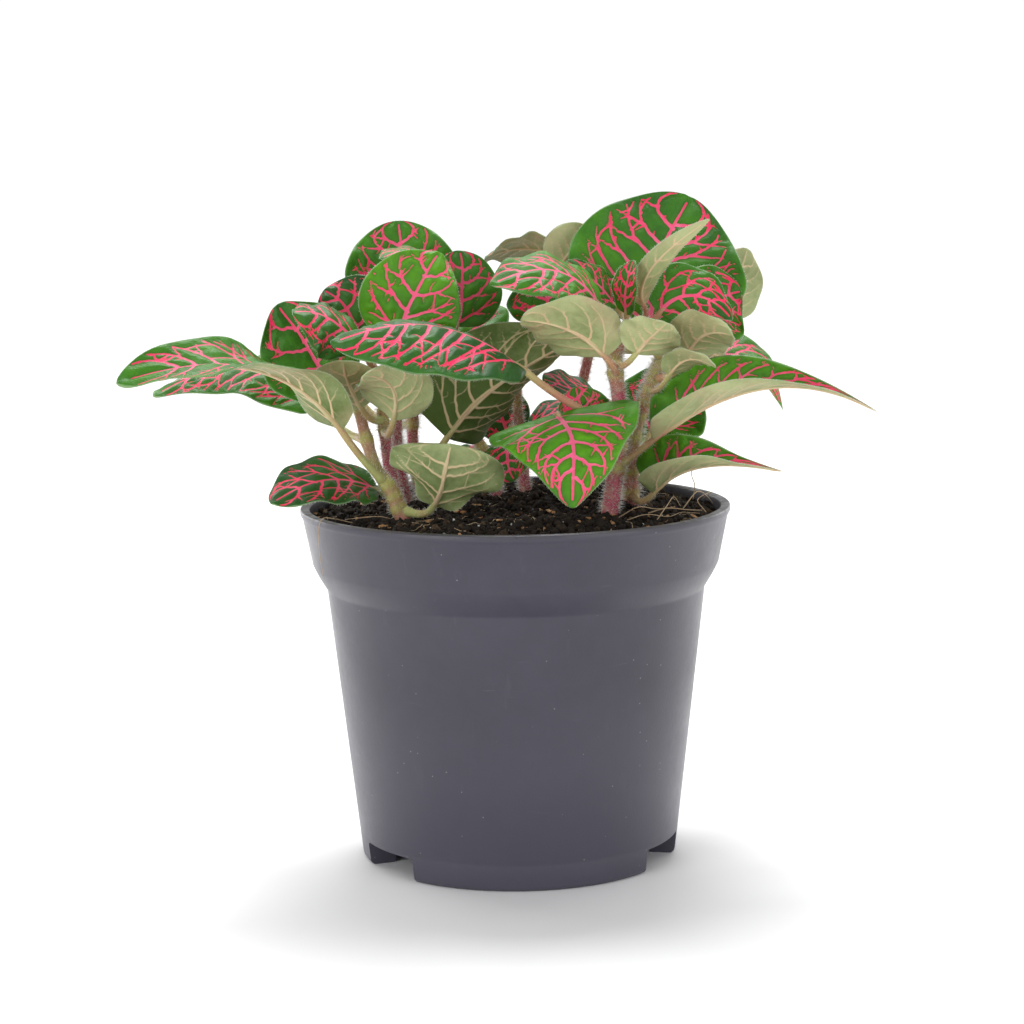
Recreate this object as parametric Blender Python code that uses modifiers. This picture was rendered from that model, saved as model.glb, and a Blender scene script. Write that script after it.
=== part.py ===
"""Nerve plant (Fittonia) growing in a round plastic nursery pot.

Frame: +Z up, origin on the pot's axis at the underside of its base, front of the plant towards -Y.
"""

import math

import bmesh
import bpy
from mathutils import Matrix, Vector

MM = 0.001

# ---- driving dimensions, in millimetres and degrees -------------------------------------------
POT_HEIGHT = 99.0
RIM_RADIUS = 60.0
BAND_RADIUS = 56.8
BAND_BOTTOM = 83.5
SHOULDER_RADIUS = 52.9
SHOULDER_BOTTOM = 76.4
BASE_RADIUS = 44.3
WALL = 1.3
RIM_LIP = 2.6
FOOT_HEIGHT = 7.0
FOOT_WIDTH = 7.0
CENTRE_DISC_RADIUS = 20.0
POT_SEGMENTS = 48

DRAIN_ANGLES = (-54.5, 65.5, 185.5)
DRAIN_SPAN = 28.5
DRAIN_HEIGHT = 6.7
DRAIN_HOLE_RADIUS = 3.2
DRAIN_HOLE_RING = 33.0

GAP = 0.3
SOIL_EDGE = 96.6
SOIL_MOUND = 4.5
SOIL_MOUND_CENTRE = (24.0, 26.0)
SOIL_MOUND_SPREAD = 26.0

STEM_BURIED = 10.0
STEM_SIDES_RESOLUTION = 2

LEAF_THICKNESS = 0.8
LEAF_ROWS = 6
LEAF_COLUMNS = 4
PETIOLE_ROWS = 2
PETIOLE_HALF_WIDTH = 1.0
PETIOLE_CLEARANCE = 1.3
BLADE_TIP_SHARE = 0.12
TAPER_START = 0.25

# ---- stems: name, radius, points from the soil surface upwards --------------------------------
STEMS = (
    ("stem_left", 1.9, ((-31, -15, 98), (-34, -13, 105), (-38, -9, 110), (-41, -4, 118), (-44, 0, 130))),
    ("stem_left_inner", 1.7, ((-33, 2, 98), (-35, 2, 109), (-36, 2, 117), (-37, 2, 127))),
    ("stem_left_hairy", 1.6, ((-31, 14, 98), (-33, 12, 110), (-33, 8, 121), (-31, 5, 140))),
    ("stem_left_back", 1.6, ((-26, 20, 98), (-29, 20, 111), (-28, 18, 127), (-21, 14, 145))),
    ("stem_centre", 1.5, ((-5, 20, 99), (-7, 21, 107), (-14, 26, 121), (-20, 31, 134))),
    ("stem_centre_right", 1.5, ((3, 20, 99), (2, 24, 111), (1, 28, 126), (2, 28, 146))),
    ("stem_right", 2.1, ((26, -12, 98), (28, -10, 112), (29, -8, 127), (28, -6, 141), (34, 0, 150))),
    ("stem_right_second", 2.0, ((32, -1, 98), (33, -2, 117), (37, -4, 130), (41, -5, 140))),
    ("stem_back", 1.8, ((14, 34, 100), (16, 38, 112), (20, 40, 128), (24, 38, 146))),
)

# ---- blades: where one is widest (an exponent, smaller is nearer its base) and how its point tapers
PLAIN_CUT = (0.9, 0.62)
CUTS = {
    "leaf_front_bright": (0.42, 0.85),
    "leaf_front_pale": (1.6, 0.62),
    "leaf_crown_big": (0.78, 0.62),
    "leaf_crown_fold": (0.6, 0.8),
    "leaf_under_big": (0.7, 0.62),
    "leaf_right_long": (0.50, 1.45),
    "leaf_right_low": (0.50, 1.35),
    "leaf_right_upper": (0.6, 1.2),
}

# ---- leaves: name, stem, height of the petiole on it, base, middle and tip of the midrib, width,
#      way the upper side faces at the base and at the tip (degrees round from the front, degrees up),
#      and how far the left and right halves curl up (degrees at the margin) ----------------------
LEAVES = (
    ("leaf_left_long", "stem_left", 106, (-47, -17, 122), (-70, -26, 140), (-105, -34, 137), 30,
     (180, 60), (0, 55), (15, 25)),
    ("leaf_left_under", "stem_left", 118, (-54, 12, 124), (-77, 16, 136), (-102, 12, 129), 25,
     (0, 72), (0, 76), (-20, -20)),
    ("leaf_left_low", "stem_left", 103, (-38, -6, 104), (-51, -14, 108), (-66, -24, 103), 26,
     (-10, 66), (-20, 66), (-8, 8)),
    ("leaf_left_round", "stem_left", 127, (-50, 9, 131), (-58, 9, 143), (-66, 9, 155), 30,
     (-20, 30), (-20, 20), (20, 10)),
    ("leaf_left_folded", "stem_left_inner", 126, (-42, -8, 144), (-50, -11, 152), (-60, -13, 154), 26,
     (0, 60), (0, 60), (-30, -30)),
    ("leaf_left_dark", "stem_left_hairy", 130, (-42, 17, 142), (-47, 20, 152), (-54, 23, 158), 26,
     (0, 20), (0, 40), (10, 10)),
    ("leaf_left_tall", "stem_left_back", 136, (-31, 26, 146), (-32, 31, 163), (-33, 37, 177), 33,
     (5, 20), (5, 20), (15, 25)),
    ("leaf_left_sliver", "stem_left_back", 143, (-21, 20, 165), (-28, 18, 169), (-37, 12, 167), 16,
     (0, 75), (0, 75), (-10, -10)),
    ("leaf_left_front", "stem_left_hairy", 139, (-31, 0, 145), (-27, -2, 158), (-20, 4, 169), 29,
     (0, 12), (0, 25), (10, 10)),
    ("leaf_left_right", "stem_left_back", 144, (-16, 10, 148), (-14, 13, 159), (-15, 18, 169), 23,
     (20, 15), (20, 20), (5, 5)),
    ("leaf_arched", "stem_right", 121, (3, -20, 138), (-21, -32, 151), (-48, -36, 147), 38,
     (0, 80), (0, 65), (-35, -35)),
    ("leaf_pale_a", "stem_left_inner", 123, (-42, -7, 127), (-45, -11, 134), (-46, -16, 141), 23,
     (170, 20), (170, 30), (10, 10)),
    ("leaf_pale_b", "stem_left_inner", 120, (-33, -12, 124), (-33, -19, 134), (-40, -27, 138), 22,
     (170, 20), (170, 40), (15, 15)),
    ("leaf_under_big", "stem_left_back", 104, (-19, 6, 117), (-4, 7, 132), (18, 10, 144), 40,
     (175, 30), (175, 35), (60, 10)),
    ("leaf_front_pale", "stem_left", 100, (-22, -24, 102), (-19, -30, 110), (-17, -33, 120), 33,
     (175, 10), (175, 30), (20, 20)),
    ("leaf_front_bright", "stem_right", 116, (12, -14, 125), (15, -32, 120), (15, -46, 104), 42,
     (5, 60), (5, 40), (14, -18)),
    ("leaf_mid_low", "stem_centre_right", 108, (-2, -3, 117), (-2, -8, 112), (0, -12, 107), 16,
     (-20, 35), (-20, 35), (0, 0)),
    ("leaf_mid_dark", "stem_centre", 106, (-1, 33, 113), (-4, 34, 121), (-7, 35, 128), 17,
     (0, 20), (0, 25), (10, 10)),
    ("leaf_mid_striped", "stem_centre_right", 112, (5, 28, 117), (10, 26, 121), (17, 22, 123), 15,
     (0, 60), (0, 60), (5, 5)),
    ("leaf_mid_small", "stem_right", 116, (22, -3, 120), (19, -5, 126), (17, -4, 132), 15,
     (-10, 25), (-10, 30), (10, 10)),
    ("leaf_mid_shade", "stem_right_second", 118, (24, 14, 127), (16, 12, 130), (8, 9, 133), 19,
     (0, 70), (0, 60), (0, 0)),
    ("leaf_top_arc", "stem_right", 147, (24, -4, 154), (12, -10, 164), (-6, -18, 161), 27,
     (10, 60), (0, 60), (-15, -15)),
    ("leaf_top_back", "stem_centre_right", 145, (16, 31, 165), (4, 31, 169), (-8, 27, 166), 22,
     (180, 65), (180, 65), (0, 0)),
    ("leaf_top_green", "stem_centre_right", 142, (12, 21, 162), (17, 22, 169), (22, 24, 175), 16,
     (180, 25), (180, 25), (10, 10)),
    ("leaf_top_strip", "stem_right", 149, (29, 10, 153), (23, 8, 160), (15, 10, 166), 14,
     (0, 60), (0, 60), (0, 0)),
    ("leaf_mid_hot", "stem_centre_right", 138, (11, 15, 148), (10, 16, 155), (9, 19, 162), 24,
     (0, 25), (0, 30), (10, 10)),
    ("leaf_crown_big", "stem_right", 150, (38, 13, 147), (42, 18, 165), (51, 28, 183), 52,
     (0, 20), (0, 35), (15, 15)),
    ("leaf_crown_curl", "stem_right", 149, (36, -6, 154), (38, -12, 165), (53, -20, 178), 7,
     (180, 10), (150, 40), (20, 20)),
    ("leaf_crown_wing", "stem_right", 147, (31, -8, 152), (31, -12, 160), (33, -12, 167), 10,
     (-40, 10), (-50, 10), (15, 15)),
    ("leaf_crown_fold", "stem_right_second", 139, (40, -7, 152), (50, -8, 157), (60, -9, 150), 21,
     (10, 25), (10, 30), (-10, -10)),
    ("leaf_crown_right", "stem_right_second", 136, (50, 3, 147), (57, 6, 154), (64, 8, 157), 24,
     (20, 20), (20, 20), (0, 0)),
    ("leaf_crown_under_right", "stem_right_second", 134, (47, -14, 141), (52, -17, 147), (59, -23, 147), 20,
     (180, 40), (180, 45), (10, 10)),
    ("leaf_crown_under_left", "stem_right", 136, (25, -16, 141), (15, -21, 149), (2, -25, 152), 26,
     (180, 50), (180, 54), (15, 15)),
    ("leaf_crown_under_mid", "stem_right", 139, (33, -19, 142), (37, -23, 147), (41, -28, 151), 18,
     (180, 38), (180, 38), (10, 10)),
    ("leaf_crown_olive", "stem_right_second", 128, (49, -4, 135), (53, -5, 139), (58, -5, 143), 13,
     (180, 40), (180, 40), (0, 0)),
    ("leaf_right_bud", "stem_right_second", 131, (42, -18, 136), (47, -24, 141), (54, -29, 139), 11,
     (180, 50), (180, 60), (10, 10)),
    ("leaf_right_upper", "stem_right_second", 124, (45, 9, 130), (63, 8, 139), (75, 0, 124), 26,
     (0, 60), (40, 50), (0, 0)),
    ("leaf_right_long", "stem_right", 110, (38, -13, 118), (70, -21, 133), (101, -27, 124), 25,
     (0, 88), (0, 76), (95, 43)),
    ("leaf_right_behind", "stem_right_second", 108, (38, 12, 116), (43, 14, 125), (50, 16, 133), 28,
     (-10, 30), (-10, 30), (0, 0)),
    ("leaf_right_low", "stem_right_second", 102, (38, -11, 103), (52, -15, 111), (76, -21, 109), 24,
     (0, 86), (0, 84), (95, 46)),
    ("leaf_right_olive", "stem_back", 140, (58, 28, 149), (64, 30, 158), (68, 34, 168), 20,
     (190, 20), (190, 20), (5, 5)),
    ("leaf_back_left", "stem_left_back", 120, (-44, 34, 124), (-62, 44, 136), (-80, 52, 128), 34,
     (180, 80), (180, 70), (-10, -10)),
    ("leaf_back_left_low", "stem_left_back", 106, (-15, 40, 107), (-12, 55, 109), (-14, 70, 104), 30,
     (0, 80), (180, 70), (-10, -10)),
    ("leaf_back_middle", "stem_centre", 112, (-12, 40, 116), (-16, 56, 126), (-18, 74, 120), 36,
     (180, 85), (180, 70), (-10, -10)),
    ("leaf_back_top", "stem_centre", 132, (-16, 40, 140), (-18, 52, 150), (-20, 66, 154), 34,
     (180, 60), (180, 50), (10, 10)),
    ("leaf_back_right_low", "stem_back", 104, (24, 48, 106), (34, 62, 114), (44, 74, 106), 32,
     (180, 85), (180, 60), (-10, -10)),
    ("leaf_back_right", "stem_back", 118, (32, 44, 124), (52, 48, 136), (74, 52, 130), 36,
     (150, 80), (150, 70), (-10, -10)),
    ("leaf_back_high", "stem_back", 144, (22, 50, 154), (20, 64, 164), (16, 78, 164), 36,
     (180, 70), (180, 60), (5, 5)),
    ("leaf_back_inner", "stem_back", 142, (34, 42, 152), (48, 46, 160), (64, 50, 158), 30,
     (170, 70), (170, 60), (0, 0)),
)


def reset_scene():
    for item in list(bpy.data.objects):
        bpy.data.objects.remove(item, do_unlink=True)


def new_collection(name):
    collection = bpy.data.collections.new(name)
    bpy.context.scene.collection.children.link(collection)
    return collection


def new_material(name, colour, roughness, metallic=0.0):
    material = bpy.data.materials.new(name)
    material.use_nodes = True
    shader = material.node_tree.nodes["Principled BSDF"]
    shader.inputs["Base Color"].default_value = (*colour, 1.0)
    shader.inputs["Roughness"].default_value = roughness
    shader.inputs["Metallic"].default_value = metallic
    return material


def add_object(name, data, collection, material=None):
    item = bpy.data.objects.new(name, data)
    collection.objects.link(item)
    if material:
        data.materials.append(material)
    return item


def add_cutter(name, shape, collection):
    """A hidden Boolean tool made from a finished bmesh."""
    mesh = bpy.data.meshes.new(name)
    shape.to_mesh(mesh)
    shape.free()
    cutter = add_object(name, mesh, collection)
    cutter.hide_render = True
    cutter.display_type = "WIRE"
    return cutter


def cut(item, cutter):
    step = item.modifiers.new(cutter.name, "BOOLEAN")
    step.operation = "DIFFERENCE"
    step.solver = "EXACT"
    step.object = cutter


def turned(name, profile, collection, material):
    """A Screw-turned solid: the profile, (radius, height) in mm, starts and ends on the axis."""
    shape = bmesh.new()
    points = [shape.verts.new((r * MM, 0.0, z * MM)) for r, z in profile]
    for start, end in zip(points, points[1:]):
        shape.edges.new((start, end))
    mesh = bpy.data.meshes.new(name)
    shape.to_mesh(mesh)
    shape.free()
    item = add_object(name, mesh, collection, material)
    screw = item.modifiers.new("turn", "SCREW")
    screw.steps = POT_SEGMENTS
    screw.render_steps = POT_SEGMENTS
    screw.use_merge_vertices = True
    screw.merge_threshold = 0.00001
    screw.use_smooth_shade = True
    return item


# ---- pot ---------------------------------------------------------------------------------------
def wall_radius(height):
    """Outer radius of the pot's wall at a height, without the lip."""
    if height >= BAND_BOTTOM:
        share = (height - BAND_BOTTOM) / (POT_HEIGHT - BAND_BOTTOM)
        return BAND_RADIUS + share * (RIM_RADIUS - 0.6 - BAND_RADIUS)
    if height >= SHOULDER_BOTTOM:
        share = (height - SHOULDER_BOTTOM) / (BAND_BOTTOM - SHOULDER_BOTTOM)
        eased = math.sin(share * math.pi / 2)
        return SHOULDER_RADIUS + eased * (BAND_RADIUS - SHOULDER_RADIUS)
    return BASE_RADIUS + height / SHOULDER_BOTTOM * (SHOULDER_RADIUS - BASE_RADIUS)


def shoulder_heights():
    return [SHOULDER_BOTTOM + (BAND_BOTTOM - SHOULDER_BOTTOM) * step / 4 for step in range(5)]


def pot_profile():
    """From the middle of the floor up the inside, over the lip, down the outside to the axis."""
    floor = FOOT_HEIGHT + WALL
    inside = [(wall_radius(z) - WALL, z) for z in [floor] + shoulder_heights()]
    lip = [
        (RIM_RADIUS - RIM_LIP, POT_HEIGHT - 1.6),
        (RIM_RADIUS - RIM_LIP, POT_HEIGHT - 0.5),
        (RIM_RADIUS - RIM_LIP + 0.6, POT_HEIGHT),
        (RIM_RADIUS - 0.6, POT_HEIGHT),
        (RIM_RADIUS, POT_HEIGHT - 0.6),
        (RIM_RADIUS, POT_HEIGHT - 2.4),
        (RIM_RADIUS - 0.7, POT_HEIGHT - 3.0),
    ]
    outside = [(wall_radius(z), z) for z in reversed(shoulder_heights())]
    foot = [
        (BASE_RADIUS + 0.1, 1.0),
        (BASE_RADIUS - 0.9, 0.0),
        (BASE_RADIUS - FOOT_WIDTH, 0.0),
        (BASE_RADIUS - FOOT_WIDTH - 1.0, FOOT_HEIGHT),
        (CENTRE_DISC_RADIUS + 1.0, FOOT_HEIGHT),
        (CENTRE_DISC_RADIUS, 0.0),
        (0.0, 0.0),
    ]
    return [(0.0, floor)] + inside + lip + outside + foot


def drain_direction(degrees):
    """Unit vector for an angle counted from the front (-Y) towards +X."""
    angle = math.radians(degrees)
    return Vector((math.sin(angle), -math.cos(angle), 0.0))


def recess_cutter(index, degrees, cutters):
    """A slice of a ring that opens the foot to the outside over one drainage recess."""
    shape = bmesh.new()
    bmesh.ops.create_cube(shape, size=1.0)
    outer = BASE_RADIUS + 6.0
    inner = BASE_RADIUS - FOOT_WIDTH - 3.0
    for vert in shape.verts:
        radius = outer if vert.co.y < 0 else inner
        angle = math.radians(degrees + (DRAIN_SPAN / 2 if vert.co.x > 0 else -DRAIN_SPAN / 2))
        z = DRAIN_HEIGHT if vert.co.z > 0 else -2.0
        vert.co = Vector((radius * math.sin(angle), -radius * math.cos(angle), z)) * MM
    return add_cutter("recess_cutter_%d" % index, shape, cutters)


def hole_cutter(index, degrees, cutters):
    shape = bmesh.new()
    place = Matrix.Translation(drain_direction(degrees) * DRAIN_HOLE_RING * MM)
    bmesh.ops.create_cone(shape, cap_ends=True, segments=16, radius1=DRAIN_HOLE_RADIUS * MM,
                          radius2=DRAIN_HOLE_RADIUS * MM, depth=4.0 * FOOT_HEIGHT * MM, matrix=place)
    return add_cutter("hole_cutter_%d" % index, shape, cutters)


def build_pot(parts, cutters):
    plastic = new_material("pot_plastic", (0.10, 0.095, 0.12), 0.45)
    pot = turned("pot", pot_profile(), parts, plastic)
    for index, degrees in enumerate(DRAIN_ANGLES):
        cut(pot, recess_cutter(index, degrees, cutters))
        cut(pot, hole_cutter(index, degrees, cutters))


# ---- soil --------------------------------------------------------------------------------------
def soil_rise(x, y):
    """Height of the mound above the soil's edge, in mm."""
    dx = x - SOIL_MOUND_CENTRE[0]
    dy = y - SOIL_MOUND_CENTRE[1]
    edge = max(0.0, 1.0 - (math.hypot(x, y) / (RIM_RADIUS - 4.0)) ** 4)
    return SOIL_MOUND * math.exp(-(dx * dx + dy * dy) / SOIL_MOUND_SPREAD ** 2) * edge + 1.4 * edge


def soil_profile():
    floor = FOOT_HEIGHT + WALL + GAP
    side = [(wall_radius(z) - WALL - GAP, z) for z in reversed([floor] + shoulder_heights())]
    edge_radius = wall_radius(SOIL_EDGE) - WALL - GAP - 1.2
    top = [(edge_radius * step / 5, SOIL_EDGE) for step in range(6)]
    return top + side + [(0.0, floor)]


def stem_socket(stem, cutters):
    """A blind hole in the soil, a little wider and deeper than the buried end of a stem."""
    name, radius, points = stem
    base = Vector(points[0])
    up = (Vector(points[1]) - base).normalized()
    depth = STEM_BURIED + GAP
    length = depth + 14.0
    middle = base - up * depth + up * length / 2
    place = Matrix.Translation(middle * MM) @ up.to_track_quat("Z", "Y").to_matrix().to_4x4()
    shape = bmesh.new()
    bmesh.ops.create_cone(shape, cap_ends=True, segments=12, radius1=(radius * 1.15 + GAP) * MM,
                          radius2=(radius * 1.15 + GAP) * MM, depth=length * MM, matrix=place)
    return add_cutter(name + "_socket", shape, cutters)


def build_soil(parts, cutters):
    peat = new_material("peat", (0.03, 0.022, 0.016), 0.95)
    soil = turned("soil", soil_profile(), parts, peat)
    depsgraph = bpy.context.evaluated_depsgraph_get()
    mesh = bpy.data.meshes.new_from_object(soil.evaluated_get(depsgraph))
    soil.modifiers.clear()
    soil.data = mesh
    for vert in mesh.vertices:
        x, y, z = vert.co / MM
        if z > SOIL_EDGE - 0.1:
            vert.co.z += soil_rise(x, y) * MM
    for stem in STEMS:
        cut(soil, stem_socket(stem, cutters))


# ---- stems -------------------------------------------------------------------------------------
def smooth_route(points, steps):
    """Points on a Catmull-Rom curve through the given ones."""
    padded = [points[0] * 2 - points[1]] + list(points) + [points[-1] * 2 - points[-2]]
    route = []
    for a, b, c, d in zip(padded, padded[1:], padded[2:], padded[3:]):
        for step in range(steps):
            t = step / steps
            route.append(0.5 * (2 * b + (c - a) * t + (2 * a - 5 * b + 4 * c - d) * t ** 2
                                + (3 * b - a - 3 * c + d) * t ** 3))
    return route + [points[-1]]


def stem_route(stem):
    points = [Vector(point) for point in stem[2]]
    up = (points[1] - points[0]).normalized()
    return [points[0] - up * STEM_BURIED] + smooth_route(points, 3)


def build_stem(stem, parts, material):
    """A round shoot that thins a little towards its top."""
    name, radius, _ = stem
    route = stem_route(stem)
    curve = bpy.data.curves.new(name, "CURVE")
    curve.dimensions = "3D"
    curve.bevel_depth = radius * MM
    curve.bevel_resolution = STEM_SIDES_RESOLUTION
    curve.use_fill_caps = True
    spline = curve.splines.new("POLY")
    spline.points.add(len(route) - 1)
    for index, (point, place) in enumerate(zip(spline.points, route)):
        point.co = (*(place * MM), 1.0)
        point.radius = 1.1 - 0.35 * index / (len(route) - 1)
    add_object(name, curve, parts, material)


def stem_point(stem_name, height):
    """Centre and radius of a stem where it reaches a height, in mm."""
    stem = next(item for item in STEMS if item[0] == stem_name)
    route = stem_route(stem)
    for start, end in zip(route, route[1:]):
        if start.z <= height <= end.z:
            share = (height - start.z) / (end.z - start.z)
            return start.lerp(end, share), stem[1] * 1.1
    return route[-1], stem[1]


# ---- leaves ------------------------------------------------------------------------------------
def facing(direction):
    """Unit vector for (degrees round from the front towards +X, degrees up)."""
    around, up = (math.radians(value) for value in direction)
    return Vector((math.sin(around) * math.cos(up), -math.cos(around) * math.cos(up), math.sin(up)))


def bezier(a, b, c, t):
    return a * (1 - t) ** 2 + b * (2 * t * (1 - t)) + c * t * t


def leaf_path(row):
    """Petiole and midrib curves of a leaf as two quadratic Bezier triples."""
    _, stem_name, height, base, middle, tip = row[:6]
    base, middle, tip = Vector(base), Vector(middle), Vector(tip)
    control = middle * 2 - (base + tip) / 2
    centre, radius = stem_point(stem_name, height)
    heading = (control - base).normalized()
    reach = base - centre
    bend = base - heading * reach.length * 0.45
    start = centre + (bend - centre).normalized() * (radius + PETIOLE_CLEARANCE)
    return (start, bend, base), (base, control, tip)


def blade_half_width(share, width, cut):
    """Half width of the blade along its midrib: rounded at the base, narrowing to its point."""
    broad, taper = cut
    body = math.sin(math.pi * min(1.0, 0.06 + 0.94 * share ** broad))
    return width / 2 * max(body ** (PLAIN_CUT[1] if share < TAPER_START else taper), BLADE_TIP_SHARE)


def leaf_frame(row, share):
    """Centre, side vector, upper-side vector and half width; share is -1..0 on the petiole, 0..1 on the blade."""
    petiole, midrib = leaf_path(row)
    width, face_base, face_tip = row[6:9]
    curve, t = (petiole, share + 1.0) if share < 0 else (midrib, share)
    centre = bezier(*curve, t)
    tangent = (bezier(*curve, min(t + 0.01, 1.0)) - bezier(*curve, max(t - 0.01, 0.0))).normalized()
    face = facing(face_base).lerp(facing(face_tip), max(share, 0.0))
    up = (face - tangent * face.dot(tangent)).normalized()
    side = tangent.cross(up)
    half = blade_half_width(share, width, CUTS.get(row[0], PLAIN_CUT)) if share > 0 else PETIOLE_HALF_WIDTH
    return centre, side, up, max(half, PETIOLE_HALF_WIDTH)


def leaf_point(row, share, across):
    """Point of the blade's middle surface; across runs from -1 (left margin) to 1 (right margin)."""
    centre, side, up, half = leaf_frame(row, share)
    curl = math.radians(row[9][1] if across > 0 else row[9][0])
    reach = abs(across)
    tilt = curl * (0.35 + 0.65 * reach / 2) if share > 0 else 0.0
    flat = half * reach
    return centre + side * math.copysign(flat * math.cos(tilt), across) + up * flat * math.sin(tilt)


def row_shares():
    """Places of the grid's rows: a few along the petiole, the rest along the blade."""
    petiole = [-1.0 + step / PETIOLE_ROWS for step in range(PETIOLE_ROWS)]
    return petiole + [step / LEAF_ROWS for step in range(LEAF_ROWS + 1)]


def build_leaf(row, parts, material):
    shares = row_shares()
    shape = bmesh.new()
    bmesh.ops.create_grid(shape, x_segments=LEAF_COLUMNS, y_segments=len(shares) - 1, size=1.0)
    for vert in shape.verts:
        index = round((vert.co.y + 1.0) / 2.0 * (len(shares) - 1))
        vert.co = leaf_point(row, shares[index], vert.co.x) * MM
    mesh = bpy.data.meshes.new(row[0])
    shape.to_mesh(mesh)
    shape.free()
    leaf = add_object(row[0], mesh, parts, material)
    shell = leaf.modifiers.new("thickness", "SOLIDIFY")
    shell.thickness = LEAF_THICKNESS * MM
    shell.offset = 0.0


def build_plant(parts):
    shoot = new_material("shoot", (0.42, 0.36, 0.16), 0.55)
    blade = new_material("blade", (0.05, 0.20, 0.03), 0.40)
    for stem in STEMS:
        build_stem(stem, parts, shoot)
    for row in LEAVES:
        build_leaf(row, parts, blade)


def build():
    reset_scene()
    parts = new_collection("potted_nerve_plant")
    cutters = new_collection("cutters")
    build_pot(parts, cutters)
    build_soil(parts, cutters)
    build_plant(parts)


build()
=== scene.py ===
import math
import random

import bmesh
import bpy
import numpy as np
from mathutils import Matrix, Vector, noise


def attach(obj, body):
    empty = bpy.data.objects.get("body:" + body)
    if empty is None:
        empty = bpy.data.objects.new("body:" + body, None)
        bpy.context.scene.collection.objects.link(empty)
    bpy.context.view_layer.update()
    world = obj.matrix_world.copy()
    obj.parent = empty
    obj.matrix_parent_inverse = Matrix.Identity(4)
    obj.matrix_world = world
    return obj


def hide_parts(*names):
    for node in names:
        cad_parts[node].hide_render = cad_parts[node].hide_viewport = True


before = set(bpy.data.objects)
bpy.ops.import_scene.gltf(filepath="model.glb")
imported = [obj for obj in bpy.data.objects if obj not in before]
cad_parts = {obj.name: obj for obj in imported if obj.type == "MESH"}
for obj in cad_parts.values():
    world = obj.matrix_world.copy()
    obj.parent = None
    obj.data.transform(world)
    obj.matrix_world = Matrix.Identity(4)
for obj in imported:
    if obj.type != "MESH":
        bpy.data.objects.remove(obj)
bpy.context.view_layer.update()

mm = 0.001  # the plant is laid out in millimetres
scene = bpy.context.scene


def growMany(count, addOne, layerName=None, batch=120):  # many small shapes, made a batch at a time
    parts = []
    for start in range(0, count, batch):
        bm = bmesh.new()
        layer = bm.verts.layers.float.new(layerName) if layerName else None
        for _ in range(min(batch, count - start)):
            addOne(bm, layer)
        parts.append((meshFrom(bm, "batch"), None))
    return joinMeshes(parts, "batches")


def addPiece(name, mesh, materials, nodes):  # an object at the origin, riding on the one body
    piece = bpy.data.objects.new(name, mesh)
    scene.collection.objects.link(piece)
    for material in materials:
        mesh.materials.append(material)
    mesh.shade_smooth()
    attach(piece, "root")
    if nodes:
        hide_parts(*nodes)
    return piece


def pieceName(node):  # stem_left_back becomes stemLeftBack
    words = node.split("_")
    return words[0] + "".join(word.capitalize() for word in words[1:])


def meshFrom(bm, name):
    mesh = bpy.data.meshes.new(name)
    bm.to_mesh(mesh)
    bm.free()
    return mesh


def smoothRoute(points, steps):  # points on a soft curve through the given ones
    padded = [points[0] * 2 - points[1]] + list(points) + [points[-1] * 2 - points[-2]]
    route = []
    for a, b, c, d in zip(padded, padded[1:], padded[2:], padded[3:]):
        for step in range(steps):
            t = step / steps
            route.append(0.5 * (2 * b + (c - a) * t + (2 * a - 5 * b + 4 * c - d) * t ** 2
                                + (3 * b - a - 3 * c + d) * t ** 3))
    return route + [points[-1]]


cameraSetup = {"lens": 87.57, "sensor": 36.0, "nearest": 0.01, "place": (0.0, -0.6901, 0.1963), "pitch": 8.22,
               "roll": -0.705, "shiftX": -0.0032, "aim": (0.0, 0.0, 0.09)}  # the lights look at the aim
softboxes = (  # name, place, size, watts, colour
    ("frontLeft", (-0.75, -0.85, 0.36), 0.6, 4.5, (1.0, 1.0, 1.0)),
    ("frontRight", (0.85, -0.70, 0.32), 0.6, 2.8, (0.98, 0.99, 1.0)),
    ("rimLeft", (-0.62, 0.66, 0.34), 0.6, 4.2, (1.0, 1.0, 1.0)),
    ("rimRight", (0.60, 0.72, 0.34), 0.6, 2.4, (1.0, 1.0, 1.0)),
)
skylight = {"from": (-0.02, 0.50, 1.0), "strength": 2.6, "spread": 30.0}
# the floor's tone near the pot is lower than far off: painted shade round the pot's base
backdrop = {"size": 8.0, "nearShadeTone": 0.95, "farTone": 1.0, "ambient": 0.45, "mirrored": 1.0, "seen": 1.05}


def placeCamera():
    data = bpy.data.cameras.new("camera")
    data.sensor_width = cameraSetup["sensor"]
    data.lens = cameraSetup["lens"]
    data.shift_x = cameraSetup["shiftX"]
    data.clip_start = cameraSetup["nearest"]
    item = bpy.data.objects.new("camera", data)
    scene.collection.objects.link(item)
    tilt = Matrix.Rotation(math.radians(90.0 - cameraSetup["pitch"]), 4, "X")
    roll = Matrix.Rotation(math.radians(cameraSetup["roll"]), 4, "Z")
    item.matrix_world = Matrix.Translation(cameraSetup["place"]) @ tilt @ roll
    scene.camera = item


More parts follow.
